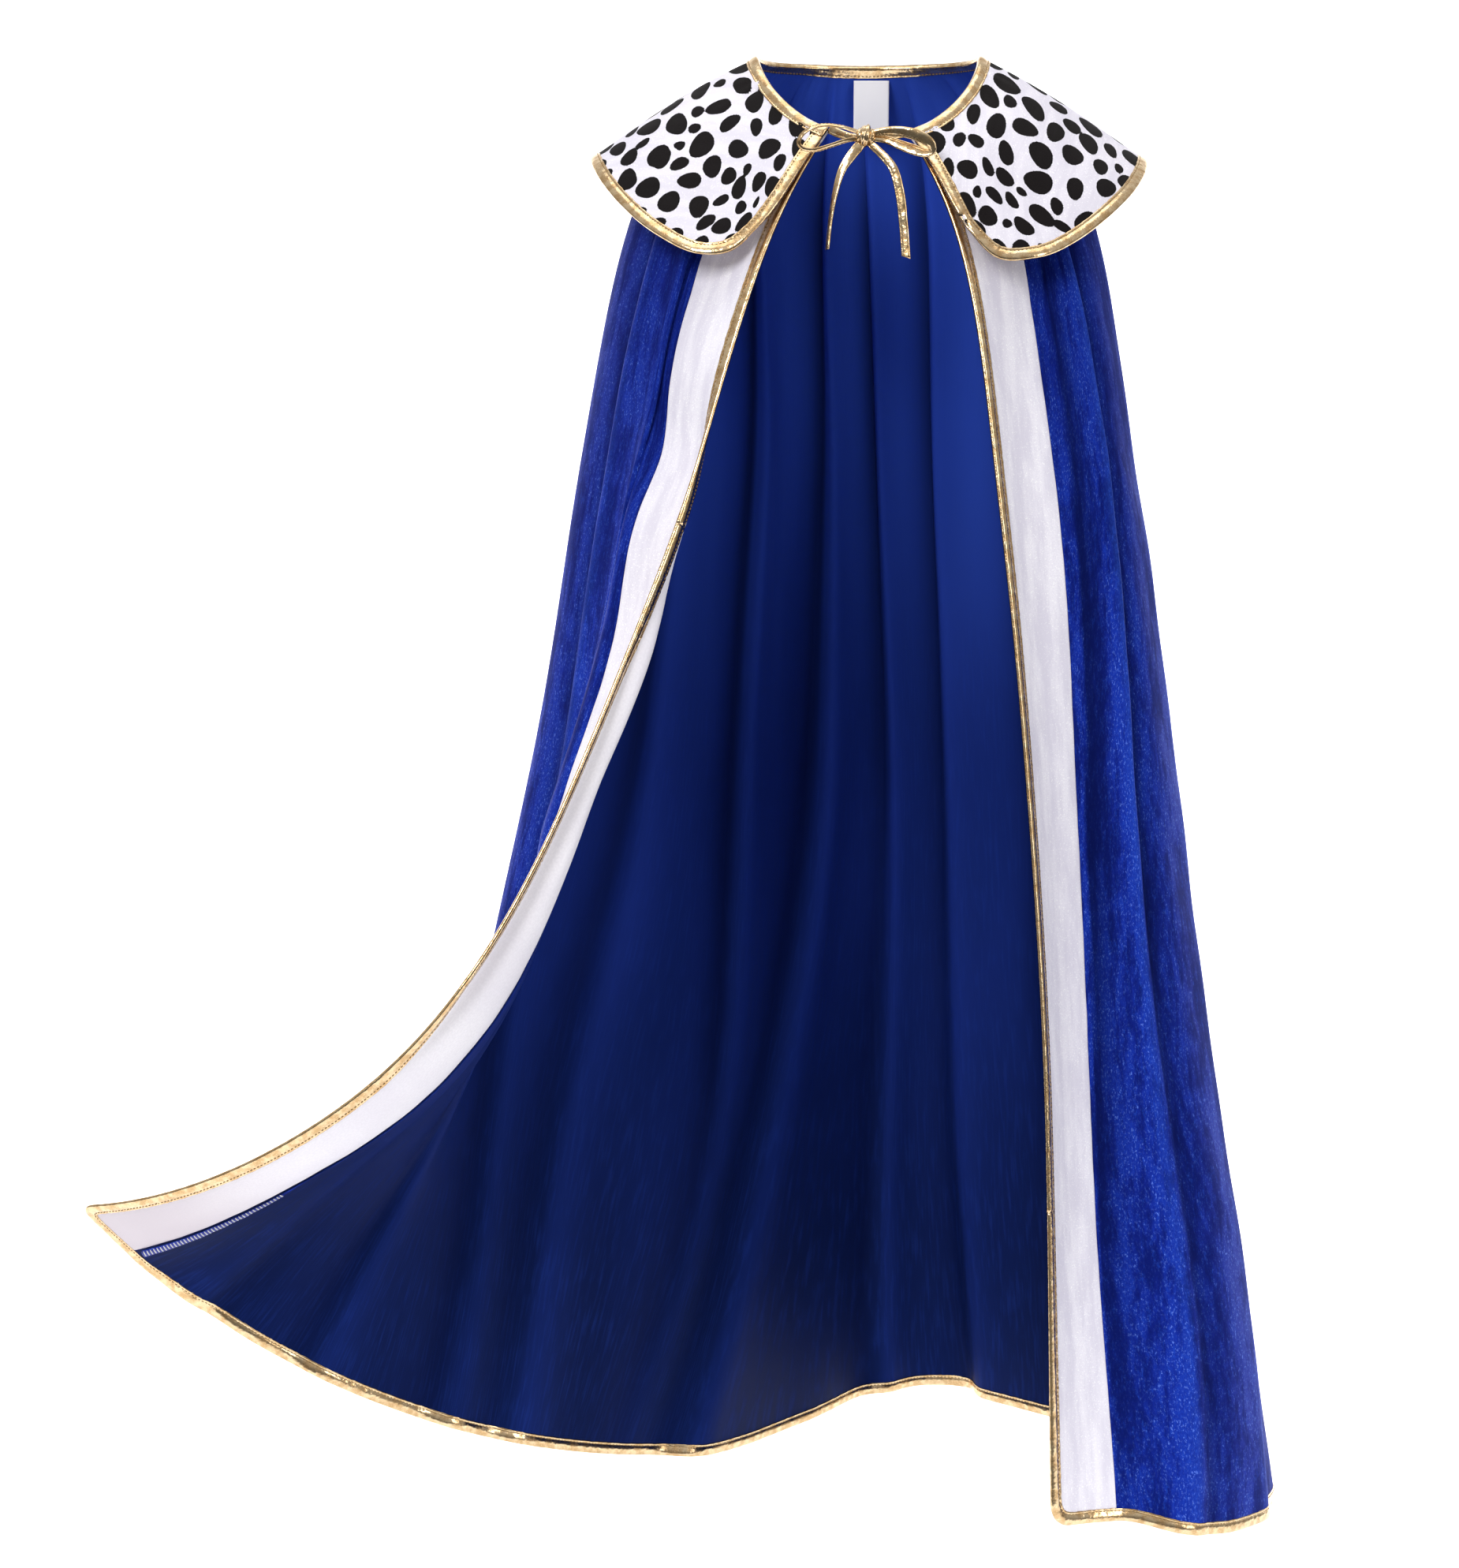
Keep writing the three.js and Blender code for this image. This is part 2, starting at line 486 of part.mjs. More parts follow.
// Where one tape ends and the next begins on each front edge
const RIGHT_JOINT = 8;
const LEFT_JOINT = 17;
const FRONT_START = 2;
const capeSheet = { points: cloth, normals: clothNormals };

function frontTape(column, insideColumn, joint, fromInside) {
  const stations = [];
  for (let i = FRONT_START; i <= joint; i += 1) {
    stations.push(edgeStation(capeSheet, [i, column], [i, insideColumn], fromInside, i === joint ? -SEAM_GAP / 2 : 0));
  }
  return foldedTape(stations);
}

// The collar lies on the cape at the neck and then follows its own ribs out over the shoulders
function collarLift(j) {
  const fromFront = Math.min(places[j] - places[0], places[LAST_COLUMN] - places[j]);
  const front = THREE.MathUtils.clamp(1 - (fromFront - TAPE_WIDTH) / COLLAR_LIFT.frontWidth, 0, 1);
  return COLLAR_LIFT.back + (COLLAR_LIFT.front - COLLAR_LIFT.back) * front;
}

function collarGrid() {
  const angles = column(RIBS, 'angle').map((angle) => -angle);
  const ribAt = (key, k, angle) => smooth(angles, RIBS.map((rib) => (k === undefined ? rib[key] : rib[key][k])), -angle);
  const lines = places.map((place) => {
    const angle = neckAngleAt(place);
    const lean = [0, 1, 2].map((k) => ribAt('lean', k, angle));
    const bearing = [0, 1].map((k) => ribAt('bearing', k, angle));
    const length = ribAt('length', undefined, angle);
    const line = hangingLine(angle, length, RIB_STEPS, (level) => smooth(RIB_LEVELS, lean, level),
      (level) => bearing[0] + (bearing[1] - bearing[0]) * level);
    return { line, length };
  });
  const distances = (length) => {
    const scale = (length - TAPE_WIDTH) / COLLAR_ROWS_DEPTH;
    return [...COLLAR_ROWS.map((distance, i) => (i < 2 ? distance : distance * scale)), length - TAPE_WIDTH, length];
  };
  const rows = COLLAR_ROWS.length + 2;
  const grid = Array.from({ length: rows }, () => []);
  lines.forEach(({ line, length }, j) => {
    const run = distances(length);
    const seat = (i) => moved(cloth[i][j], clothNormals[i][j], collarLift(j));
    const correction = [0, 1].map((i) => seat(i).sub(line(run[i] / length)));
    run.forEach((distance, i) => {
      const fade = i < 2 ? 1 : Math.exp(-(distance - TAPE_WIDTH) / COLLAR_LIFT.settle);
      grid[i].push(line(distance / length).addScaledVector(correction[Math.min(i, 1)], fade));
    });
  });
  grid.forEach((row, i) => {
    if (i < 2) return;
    const inset = (edge, near, far) => {
      const direction = row[far].clone().sub(row[edge]).normalize();
      row[near] = moved(row[edge], direction, TAPE_WIDTH);
    };
    inset(0, 1, 2);
    inset(LAST_COLUMN, LAST_COLUMN - 1, LAST_COLUMN - 2);
  });
  return grid;
}

const collar = collarGrid();
const collarNormals = gridNormals(collar).map((row, i) => (i < 2 ? clothNormals[i] : row));

function collarWall() {
  const side = (offset) => collar.map((row, i) => row.map((point, j) => moved(point, collarNormals[i][j], offset)));
  return wallGeometry(side(CLOTH / 2), side(-CLOTH / 2), true);
}

// The neck tape folds over the cape and the collar together
function neckTape() {
  const stations = places.map((place, j) => ({
    edge: cloth[0][j],
    inside: cloth[1][j],
    edgeNormal: clothNormals[0][j],
    insideNormal: clothNormals[1][j],
    outer: collarLift(j) + CLOTH / 2,
    inner: CLOTH / 2,
    fromInside: true,
  }));
  return foldedTape(stations);
}

// A flat tape along a route, with softly rounded edges
function flatTape(route, width, thickness, steps) {
  const curve = new THREE.CatmullRomCurve3(route.map(vector), false, 'centripetal');
  const points = curve.getSpacedPoints(steps);
  const outwards = new THREE.Vector3(0, -1, 0);
  const rings = points.map((point, k) => {
    const along = points[Math.min(k + 1, steps)].clone().sub(points[Math.max(k - 1, 0)]).normalize();
    const across = along.clone().cross(outwards).normalize();
    const face = across.clone().cross(along);
    return TIE_SECTION.map(([x, y]) => moved(point, across, x * width / 2).addScaledVector(face, y * thickness / 2));
  });
  const fan = [1, 2, 3, 4, 5, 6].map((i) => [0, i, i + 1]);
  return sweptGeometry(rings, fan);
}

function knotGeometry() {
  const geometry = new THREE.SphereGeometry(1, KNOT.sides, KNOT.rings);
  geometry.scale(KNOT.radius[0], KNOT.radius[1], KNOT.radius[2]);
  geometry.translate(KNOT.centre[0], KNOT.centre[1], KNOT.centre[2]);
  return geometry;
}

// The size label hangs from the neck tape inside the back, clear of the body's inner face
function labelGeometry() {
  const top = neckRing(90);
  const lean = radians(LABEL.lean);
  const down = new THREE.Vector3(0, Math.sin(lean), -Math.cos(lean));
  const start = new THREE.Vector3(LABEL.sideways, top.y + LABEL.behindNeck, top.z - LABEL.belowNeck);
  const geometry = new THREE.BoxGeometry(LABEL.width, LABEL.thickness, LABEL.height);
  geometry.rotateX(lean);
  const middle = moved(start, down, LABEL.height / 2);
  geometry.translate(middle.x, middle.y, middle.z);
  return geometry;
}

function material(colour, roughness, metalness = 0) {
  return new THREE.MeshStandardMaterial({ color: colour, roughness, metalness });
}

const velvet = material(COLOURS.velvet, 0.75);
const white = material(COLOURS.white, 0.6);
const spotted = material(COLOURS.spotted, 0.7);
const gold = material(COLOURS.gold, 0.3, 0.9);
const satin = material(COLOURS.label, 0.55);

const cape = new THREE.Group();
function add(name, geometry, finish) {
  const mesh = new THREE.Mesh(geometry, finish);
  mesh.name = name;
  cape.add(mesh);
}

add('cape_body', clothWall(FIRST_BODY, LAST_BODY), velvet);
add('band_right', clothWall(0, FIRST_BODY), white);
add('band_left', clothWall(LAST_BODY, LAST_COLUMN), white);
add('collar', collarWall(), spotted);
add('binding_neck', neckTape(), gold);
add('binding_collar', foldedTape(stationsRound({ points: collar, normals: collarNormals }, 1, 1, SEAM_GAP)), gold);
add('binding_front_right', frontTape(0, 1, RIGHT_JOINT, true), gold);
add('binding_front_left', frontTape(LAST_COLUMN, LAST_COLUMN - 1, LEFT_JOINT, false), gold);
add('binding_hem', foldedTape(stationsRound(capeSheet, RIGHT_JOINT, LEFT_JOINT, SEAM_GAP / 2)), gold);
add('bow_knot', knotGeometry(), gold);
add('label_neck', labelGeometry(), satin);
Object.entries(TIE_ROUTES).forEach(([name, route]) => {
  add(name, flatTape(route, TIE.width, TIE.thickness, (route.length - 1) * TIE_STEPS_PER_POINT), gold);
});

export default cape;
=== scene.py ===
"""King cape: velvet body, white front bands, spotted collar, gold tape on every edge and a tape bow."""
import math
import bpy
import numpy as np
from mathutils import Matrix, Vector
from mathutils.bvhtree import BVHTree


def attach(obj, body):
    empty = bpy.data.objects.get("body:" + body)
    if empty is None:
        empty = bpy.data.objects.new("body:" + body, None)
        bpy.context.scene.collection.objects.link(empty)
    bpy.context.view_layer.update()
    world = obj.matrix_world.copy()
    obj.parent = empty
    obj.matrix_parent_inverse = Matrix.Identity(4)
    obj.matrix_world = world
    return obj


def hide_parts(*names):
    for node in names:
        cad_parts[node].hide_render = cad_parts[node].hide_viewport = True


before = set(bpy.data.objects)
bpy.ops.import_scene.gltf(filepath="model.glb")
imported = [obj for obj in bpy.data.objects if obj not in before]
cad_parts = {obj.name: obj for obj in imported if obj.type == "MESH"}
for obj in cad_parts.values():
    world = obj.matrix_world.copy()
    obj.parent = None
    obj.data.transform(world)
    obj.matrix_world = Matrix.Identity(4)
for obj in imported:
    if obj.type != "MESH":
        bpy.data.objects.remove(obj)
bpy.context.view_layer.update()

# Sizes are in mm, the same as the solids', and become metres when a mesh is made
MM = 0.001
CLOTH = 1.6
TAPE_WIDTH = 9
BAND_WIDTH = 52
BODY_WIDTH = 1285
NECK = {"half_width": 76, "back": 60, "front": 66, "height": 22, "back_rise": 5.2, "dip": 67,
        "dip_power": 1.3}
SEAM_ANGLE = {"right": 212, "left": -34}
NECK_FADE = 0.1

# The camera stands where the photograph was taken from
CAMERA = {"place": (-0.096, -2.63, -0.48), "lens": 87.19, "sensor": 36, "sees_to": 40}
FLOOR = -1.2

# Guide lines that hang from the neck: place in mm of hem from the right seam, angle round the neck,
# length along the cloth, lean from the vertical and bearing in plan
LEAN_LEVELS = [0, 0.12, 0.35, 0.6, 0.8, 1]
BEARING_LEVELS = [0, 0.5, 1]
GUIDE_STEPS = 96
GUIDES = [
    ("right_edge", -52, 247.6, 965, [40, 23, 23, 30, 58, 86], [218, 201, 142]),
    ("right_front", 105, 198, 962, [42, 21, 10, 15, 40, 37], [222, 172, 179]),
    ("right_side", 236, 174, 989, [63, 24, 9, 12, 9, 10], [177, 181, 194]),
    ("right_back", 450, 129, 1021, [67, 11, 6, 2, 3, 2], [128, 153, 223]),
    ("back", 725, 90, 1006, [42, 18, 14, 11, 10, 13], [79, 72, 64]),
    ("left_back", 840, 52, 1021, [64, 16, 12, 7, 7, 3], [52, 66, 53]),
    ("left_side", 1055, 6, 1043, [62, 18, 9, 9, 9, 9], [0, 22, 15]),
    ("left_front", 1235, -18, 1008, [38, 19, 7, 5, 7, -2], [320, 333, 338]),
    ("left_edge", 1337, -71, 945, [39, 15, 7, 4, 1, 1], [319, 327, 300]),
]

# How a front band turns about its edge: level, direction at the edge and at the seam, centre, width
RIGHT_TURN = [
    (0, 150, 150, 26, 26), (0.12, 140, 140, 26, 26), (0.2, 133, 133, 24, 26), (0.3, 35, 148, 10, 22),
    (0.4, 8, 150, 17, 22), (0.5, 36, 140, 22, 22), (0.55, 34, 140, 26, 22), (0.61, 38, 98, 31, 22),
    (0.7, 39, 80, 33, 22), (0.85, 39, 78, 29, 22), (1, 46, 46, 26, 26),
]
LEFT_TURN = [
    (0, 20, 20, 26, 30), (0.12, 42, 32, 26, 40), (0.3, 50, 22, 26, 40), (0.5, 60, 34, 26, 40),
    (0.8, 60, 34, 26, 40), (1, 36, 20, 26, 40),
]
BAND_STEPS = 52

# Folds that fall from the neck pleats: place along the hem by level, depth in mm by level, width
PLACE_LEVELS = [0, 0.3, 0.55, 0.8, 1]
DEPTH_LEVELS = [0.012, 0.07, 0.3, 0.55, 0.8, 1]
FOLDS = [
    ("right_front", [64, 62, 60, 62, 66], [0, -1.2, -2, -2, -2, -4], 40),
    ("right_side_front", [160, 160, 156, 150, 150], [0, 1.6, 3, 4, 4, 5], 46),
    ("right_side_back", [300, 296, 290, 272, 256], [0, 2, 4, 5, 7, 9], 52),
    ("right_back_soft", [410, 392, 379, 331, 305], [0, 2.2, 4, 6, 7, 7], 60),
    ("right_back", [520, 506, 496, 470, 400], [0, 3, 8, 7, 4, 3], 55),
    ("back_right", [651, 638, 608, 522, 449], [0, 3, 9, 11, 13, 12], 60),
    ("back_middle", [716, 711, 703, 672, 648], [0, 3, 8, 8, 8, 8], 42),
    ("back_left", [783, 769, 762, 753, 756], [0, 3, 8, 8, 8, 9], 42),
    ("left_back", [850, 846, 846, 850, 852], [0, 3, 7, 8, 9, 11], 44),
    ("left_side_back", [925, 925, 930, 935, 940], [0, 2.6, 7, 8, 9, 10], 46),
    ("left_side", [1000, 998, 1000, 1002, 1004], [0, 2.2, 5, 6, 7, 8], 42),
    ("left_side_front", [1116, 1116, 1120, 1124, 1124], [0, -1.6, -3, -4, -4, -6], 40),
    ("left_front", [1206, 1212, 1222, 1220, 1214], [0, -2, -6, -6, -5, -5], 34),
]
SHARP_LEVELS = [0, 0.3, 0.5, 0.7, 1]
FOLD_SHARPNESS = [0.05, 0.055, 0.11, 0.22, 0.3]
SHADE_SHARPNESS = [0.03, 0.035, 0.08, 0.18, 0.26]
FOLD_FALL = {"rate": 2, "power": 1.5}
FOLD_FADE = 36

# The collar's ribs: angle, length, lean and bearing
RIB_STEPS = 48
RIB_LEVELS = [0, 0.5, 1]
RIBS = [
    (247.6, 95, [49, 36, 45], [225, 208]), (240, 114, [46, 36, 34], [223, 209]),
    (231, 129, [43, 37, 42], [226, 202]), (218, 137, [44, 40, 56], [224, 190]),
    (203, 138, [52, 48, 50], [212, 181]), (182, 136, [66, 57, 55], [184, 176]),
    (150, 134, [78, 60, 52], [152, 158]), (120, 132, [74, 58, 50], [121, 124]),
    (90, 132, [64, 55, 48], [90, 90]), (60, 132, [74, 58, 50], [59, 56]),
    (30, 134, [78, 60, 52], [28, 22]), (-2, 138, [66, 57, 55], [2, 4]),
    (-22, 138, [52, 46, 52], [-30, -2]), (-38, 136, [44, 36, 50], [-57, -1]),
    (-52, 127, [45, 33, 38], [-52, -20]), (-63, 110, [44, 31, 30], [-52, -30]),
    (-71, 84, [48, 34, 32], [-48, -40]),
]
COLLAR_LIFT = {"back": 2, "front": 2.9, "front_width": 16, "settle": 26}


def unit(v):
    return v / np.maximum(np.linalg.norm(v, axis=-1, keepdims=True), 1e-12)


def smoothstep(t):
    t = np.clip(t, 0, 1)
    return t * t * (3 - 2 * t)


def smooth(knots, values, at):
    """A smooth curve through values at unevenly spaced knots."""
    k = np.asarray(knots, float)
    v = np.asarray(values, float)
    at = np.asarray(at, float)
    slope = np.diff(v) / np.diff(k)
    tangent = np.empty(len(k))
    tangent[0], tangent[-1] = slope[0], slope[-1]
    before, after = k[1:-1] - k[:-2], k[2:] - k[1:-1]
    tangent[1:-1] = (slope[:-1] * after + slope[1:] * before) / (before + after)
    i = np.clip(np.searchsorted(k, at, side="right") - 1, 0, len(k) - 2)
    span = k[i + 1] - k[i]
    t = np.clip((at - k[i]) / span, 0, 1)
    return ((1 + 2 * t) * (1 - t) ** 2 * v[i] + t * (1 - t) ** 2 * span * tangent[i]
            + t * t * (3 - 2 * t) * v[i + 1] + t * t * (t - 1) * span * tangent[i + 1])


def neck_ring(angle):
    a = np.radians(angle)
    across, back = np.cos(a), np.sin(a)
    drop = NECK["dip"] * np.clip(-back, 0, 1) ** NECK["dip_power"]
    depth = np.where(back >= 0, NECK["back"], NECK["front"])
    rise = NECK["back_rise"] * np.clip(back, 0, 1) ** 2
    return np.stack([NECK["half_width"] * across, depth * back, NECK["height"] + rise - drop], -1)


def hanging_line(angle, length, steps, leans, lean_levels, bearings, bearing_levels):
    level = (np.arange(steps) + 0.5) / steps
    lean = np.radians(smooth(lean_levels, leans, level))
    bearing = np.radians(smooth(bearing_levels, bearings, level))
    step = np.stack([np.sin(lean) * np.cos(bearing), np.sin(lean) * np.sin(bearing), -np.cos(lean)], -1)
    start = neck_ring(angle)
    return np.concatenate([[start], start + np.cumsum(step * length / steps, 0)])


def on_line(line, level):
    steps = len(line) - 1
    x = np.clip(level, 0, 1) * steps
    i = np.clip(x.astype(int), 0, steps - 1)
    f = (x - i)[:, None]
    return line[i] * (1 - f) + line[i + 1] * f


GUIDE_LINES = [hanging_line(angle, length, GUIDE_STEPS, lean, LEAN_LEVELS, bearing, BEARING_LEVELS)
               for _, _, angle, length, lean, bearing in GUIDES]
BODY_KNOTS = np.array([0] + [g[1] for g in GUIDES[1:-1]] + [BODY_WIDTH], float)
NECK_KNOTS = [-BAND_WIDTH, *BODY_KNOTS, BODY_WIDTH + BAND_WIDTH]
NECK_ANGLES = [GUIDES[0][2], SEAM_ANGLE["right"], *[g[2] for g in GUIDES[1:-1]], SEAM_ANGLE["left"],
               GUIDES[-1][2]]


def neck_angle(place):
    return smooth(NECK_KNOTS, NECK_ANGLES, place)


# Half the span of levels that gives an edge line its direction
EDGE_REACH = 0.004


def band_section(line, turn, level):
    """Points across a front band at each level, from its edge to its seam, and the direction there."""
    knots = [row[0] for row in turn]
    values = [smooth(knots, column, level)[:, None] for column in list(zip(*turn))[1:]]
    edge, seam, centre, width = values
    along = unit(on_line(line, level + EDGE_REACH) - on_line(line, level - EDGE_REACH))
    back = unit(np.array([0, 1.0, 0]) - along * along[:, 1:2])
    left = np.cross(along, back)

    def direction(distance):
        angle = np.radians(edge + (seam - edge) * smoothstep((distance - centre) / width + 0.5))
        return np.cos(angle) * left + np.sin(angle) * back

    step = BAND_WIDTH / BAND_STEPS
    points = [on_line(line, level)]
    for i in range(BAND_STEPS):
        points.append(points[-1] + direction((i + 0.5) * step) * step)
    return np.array(points), direction(BAND_WIDTH)


def across_band(points, distance):
    x = np.clip(np.asarray(distance, float) / BAND_WIDTH * BAND_STEPS, 0, BAND_STEPS - 1e-9)
    i = x.astype(int)
    f = (x - i)[..., None]
    rows = np.arange(points.shape[1])[:, None]
    return points[i, rows] * (1 - f) + points[i + 1, rows] * f


def plain_cloth(level, place):
    """The cloth without folds at levels (n) and places (n, m): points (n, m, 3)."""
    right, right_dir = band_section(GUIDE_LINES[0], RIGHT_TURN, level)
    left, left_dir = band_section(GUIDE_LINES[-1], LEFT_TURN, level)
    knots = np.array([right[-1]] + [on_line(g, level) for g in GUIDE_LINES[1:-1]] + [left[-1]])
    spans = np.diff(BODY_KNOTS)
    slopes = np.diff(knots, axis=0) / spans[:, None, None]
    tangents = np.empty_like(knots)
    tangents[0] = right_dir * np.linalg.norm(slopes[0], axis=-1, keepdims=True)
    tangents[-1] = -left_dir * np.linalg.norm(slopes[-1], axis=-1, keepdims=True)
    before, after = spans[:-1, None, None], spans[1:, None, None]
    tangents[1:-1] = (slopes[:-1] * after + slopes[1:] * before) / (before + after)
    i = np.clip(np.searchsorted(BODY_KNOTS, place, side="right") - 1, 0, len(BODY_KNOTS) - 2)
    rows = np.arange(len(level))[:, None]
    t = np.clip((place - BODY_KNOTS[i]) / spans[i], 0, 1)[..., None]
    span = spans[i][..., None]
    out = ((1 + 2 * t) * (1 - t) ** 2 * knots[i, rows] + t * (1 - t) ** 2 * span * tangents[i, rows]
           + t * t * (3 - 2 * t) * knots[i + 1, rows] + t * t * (t - 1) * span * tangents[i + 1, rows])
    on_right, on_left = place < 0, place > BODY_WIDTH
    out = np.where(on_right[..., None], across_band(right, np.clip(place + BAND_WIDTH, 0, BAND_WIDTH)), out)
    from_left = np.clip(BODY_WIDTH + BAND_WIDTH - place, 0, BAND_WIDTH)
    return np.where(on_left[..., None], across_band(left, from_left), out)


def cloth_points(level, place):
    level = np.asarray(level, float)
    place = np.broadcast_to(np.asarray(place, float), (len(level), np.shape(place)[-1]))
    at_neck = plain_cloth(np.zeros(len(level)), place)
    correction = neck_ring(neck_angle(place)) - at_neck
    fade = np.clip(1 - level / NECK_FADE, 0, 1)[:, None, None] ** 2
    return plain_cloth(level, place) + correction * fade


def fold_places(level):
    return np.array([smooth(PLACE_LEVELS, fold[1], level) for fold in FOLDS])


def place_at(place, level):
    """Columns lie on the folds and follow them as they drift along the hem: (n levels, m places)."""
    rest = np.array([0] + [fold[1][0] for fold in FOLDS] + [BODY_WIDTH], float)
    now = np.vstack([np.zeros(len(level)), fold_places(level), np.full(len(level), BODY_WIDTH)])
    out = np.array([np.interp(place, rest, now[:, k]) for k in range(len(level))])
    inside = (place > 0) & (place < BODY_WIDTH)
    return np.where(inside, out, place)


def fold_depth(place, level):
    level = level[:, None]
    sharpness = np.interp(level, SHARP_LEVELS, FOLD_SHARPNESS)
    depth = np.zeros(place.shape)
    for _, places, sizes, width in FOLDS:
        x = (place - smooth(PLACE_LEVELS, places, level)) / width
        size = smooth(DEPTH_LEVELS, sizes, np.maximum(level, DEPTH_LEVELS[0]))
        fall = np.exp(-FOLD_FALL["rate"] * np.abs(x) ** FOLD_FALL["power"])
        depth -= size * np.tanh(x / sharpness) * fall
    return depth * smoothstep(np.minimum(place, BODY_WIDTH - place) / FOLD_FADE)


def grid_normals(grid):
    """Outward normals of a grid whose columns run round the wearer and whose rows run down."""
    across = np.empty_like(grid)
    across[:, 1:-1] = unit(grid[:, 2:] - grid[:, 1:-1]) + unit(grid[:, 1:-1] - grid[:, :-2])
    across[:, 0] = grid[:, 1] - grid[:, 0]
    across[:, -1] = grid[:, -1] - grid[:, -2]
    down = np.empty_like(grid)
    down[1:-1] = grid[2:] - grid[:-2]
    down[0] = grid[1] - grid[0]
    down[-1] = grid[-1] - grid[-2]
    return unit(np.cross(across, down))


def ripple(x, seed, wavelengths, y=0.0):
    """A smooth uneven wave of about unit height, the same on every run."""
    rng = np.random.default_rng(seed)
    out = np.zeros(np.broadcast(x, y).shape)
    for wavelength in wavelengths:
        for _ in range(3):
            phase = rng.uniform(0, 2 * np.pi)
            drift = rng.uniform(-0.4, 0.4)
            scale = wavelength * rng.uniform(0.75, 1.35)
            out += np.sin(2 * np.pi * (x + drift * y) / scale + phase)
    return out / math.sqrt(1.5 * len(wavelengths) * 3) * 0.7


# Small uneven creases in the cloth, besides the main folds. The drape's waves are closer at the neck.
DRAPE = {"height": 0.9, "waves": [95, 61], "seed": 3, "at_neck": 0.35, "drift": 0.25, "full_at": 0.25}
PLEATS = {"height": 0.9, "waves": [52, 34], "seed": 11, "level": 0.03, "spread": 0.035, "full_at": 0.02}
HEM_WAVES = {"height": 0.7, "waves": [120, 64], "seed": 19, "from": 0.9}
FLAT_BESIDE_SEAM = 24


def crease_depth(place, level):
    level = level[:, None]
    closer = place * (DRAPE["at_neck"] + (1 - DRAPE["at_neck"]) * level)
    drape = ripple(closer, DRAPE["seed"], DRAPE["waves"], DRAPE["drift"] * 1000 * level)
    drape = DRAPE["height"] * drape * smoothstep(level / DRAPE["full_at"])
    shoulder = np.exp(-((level - PLEATS["level"]) / PLEATS["spread"]) ** 2)
    shoulder = shoulder * smoothstep(level / PLEATS["full_at"])
    pleats = PLEATS["height"] * ripple(place, PLEATS["seed"], PLEATS["waves"]) * shoulder
    low = smoothstep((level - HEM_WAVES["from"]) / (1 - HEM_WAVES["from"]))
    hem = HEM_WAVES["height"] * ripple(place, HEM_WAVES["seed"], HEM_WAVES["waves"]) * low
    fade = smoothstep(np.minimum(place, BODY_WIDTH - place) / FLAT_BESIDE_SEAM)
    return (drape + pleats + hem) * fade


# Rows of the cloth by level, and its columns by place: closer beside each fold line and each seam
ROWS = [(0, 0.012, 5), (0.012, 0.1, 22), (0.1, 0.97, 130), (0.97, 1, 9)]
LEVELS = np.unique(np.concatenate([np.linspace(*rows) for rows in ROWS]))
SEAM_COLUMNS = np.array([0, 0.6, 1.4, 2.6, 4.4])
FOLD_COLUMNS = np.array([-9, -5.2, -2.8, -1.2, 0, 1.2, 2.8, 5.2, 9])
EVEN_COLUMNS = 190
EVEN_FROM = 7.5


def body_columns():
    folds = np.array([fold[1][0] for fold in FOLDS])
    even = np.linspace(EVEN_FROM, BODY_WIDTH - EVEN_FROM, EVEN_COLUMNS)
    even = even[np.min(np.abs(even[:, None] - folds), axis=1) > FOLD_COLUMNS[-1] + 1]
    close = (folds[:, None] + FOLD_COLUMNS).ravel()
    return np.unique(np.concatenate([SEAM_COLUMNS, even, close, BODY_WIDTH - SEAM_COLUMNS]))


BODY_PLACES = body_columns()
BAND_COLUMNS = np.concatenate([np.linspace(0, 45.8, 25), BAND_WIDTH - SEAM_COLUMNS[::-1]])
RIGHT_PLACES = BAND_COLUMNS - BAND_WIDTH
LEFT_PLACES = (BODY_WIDTH + BAND_WIDTH - BAND_COLUMNS)[::-1]
PLACES = np.concatenate([RIGHT_PLACES[:-1], BODY_PLACES, LEFT_PLACES[1:]])
FIRST_BODY = len(RIGHT_PLACES) - 1
LAST_BODY = FIRST_BODY + len(BODY_PLACES) - 1


# How fast a fold's shade falls away, and the fold depth in mm that gives a full shade
SHADE = {"rate": 2.6, "power": 1.1, "full_depth": 5}
# Painted shade on the velvet beside its left seam, a dark strip and not a hollow in the cloth: where it
# starts by level, how dark it is, how wide
SEAM_PAINTED_SHADE = {"places": [1262, 1266, 1276, 1282, 1284], "dark": [0.5, 0.95, 0.95, 0.6, 0.3], "width": 24,
               "edge": 5}


def fold_shade(place, level):
    """1 in the hollow just before a fold line on the inner side, -1 on the ridge just after it; a mask for
    painted shade.
    """
    level = level[:, None]
    sharpness = np.interp(level, SHARP_LEVELS, SHADE_SHARPNESS)
    shade = np.zeros(place.shape)
    for _, places, sizes, width in FOLDS:
        x = (place - smooth(PLACE_LEVELS, places, level)) / width
        size = smooth(DEPTH_LEVELS, sizes, np.maximum(level, DEPTH_LEVELS[0])) / SHADE["full_depth"]
        fall = np.exp(-SHADE["rate"] * np.abs(x) ** SHADE["power"])
        shade -= np.clip(size, -1, 1) * np.tanh(x / sharpness) * fall
    shade = np.clip(shade, -1, 1) * smoothstep(np.minimum(place, BODY_WIDTH - place) / FOLD_FADE)
    # Painted shade beside the left seam: a dark strip that starts near the seam and fades away from it
    beyond = smooth(PLACE_LEVELS, SEAM_PAINTED_SHADE["places"], level) - place
    dark = smooth(PLACE_LEVELS, SEAM_PAINTED_SHADE["dark"], level)
    seam_shade = smoothstep(beyond / SEAM_PAINTED_SHADE["edge"] + 0.5)
    seam_shade = seam_shade * np.exp(-np.maximum(beyond, 0) / SEAM_PAINTED_SHADE["width"])
    return np.clip(shade - dark * seam_shade, -1, 1)


def cape_grid(level, place):
    spread = place_at(np.asarray(place, float), level)
    plain = cloth_points(level, spread)
    normals = grid_normals(plain)
    depth = fold_depth(spread, level) + crease_depth(spread, level)
    return plain + normals * depth[..., None], spread


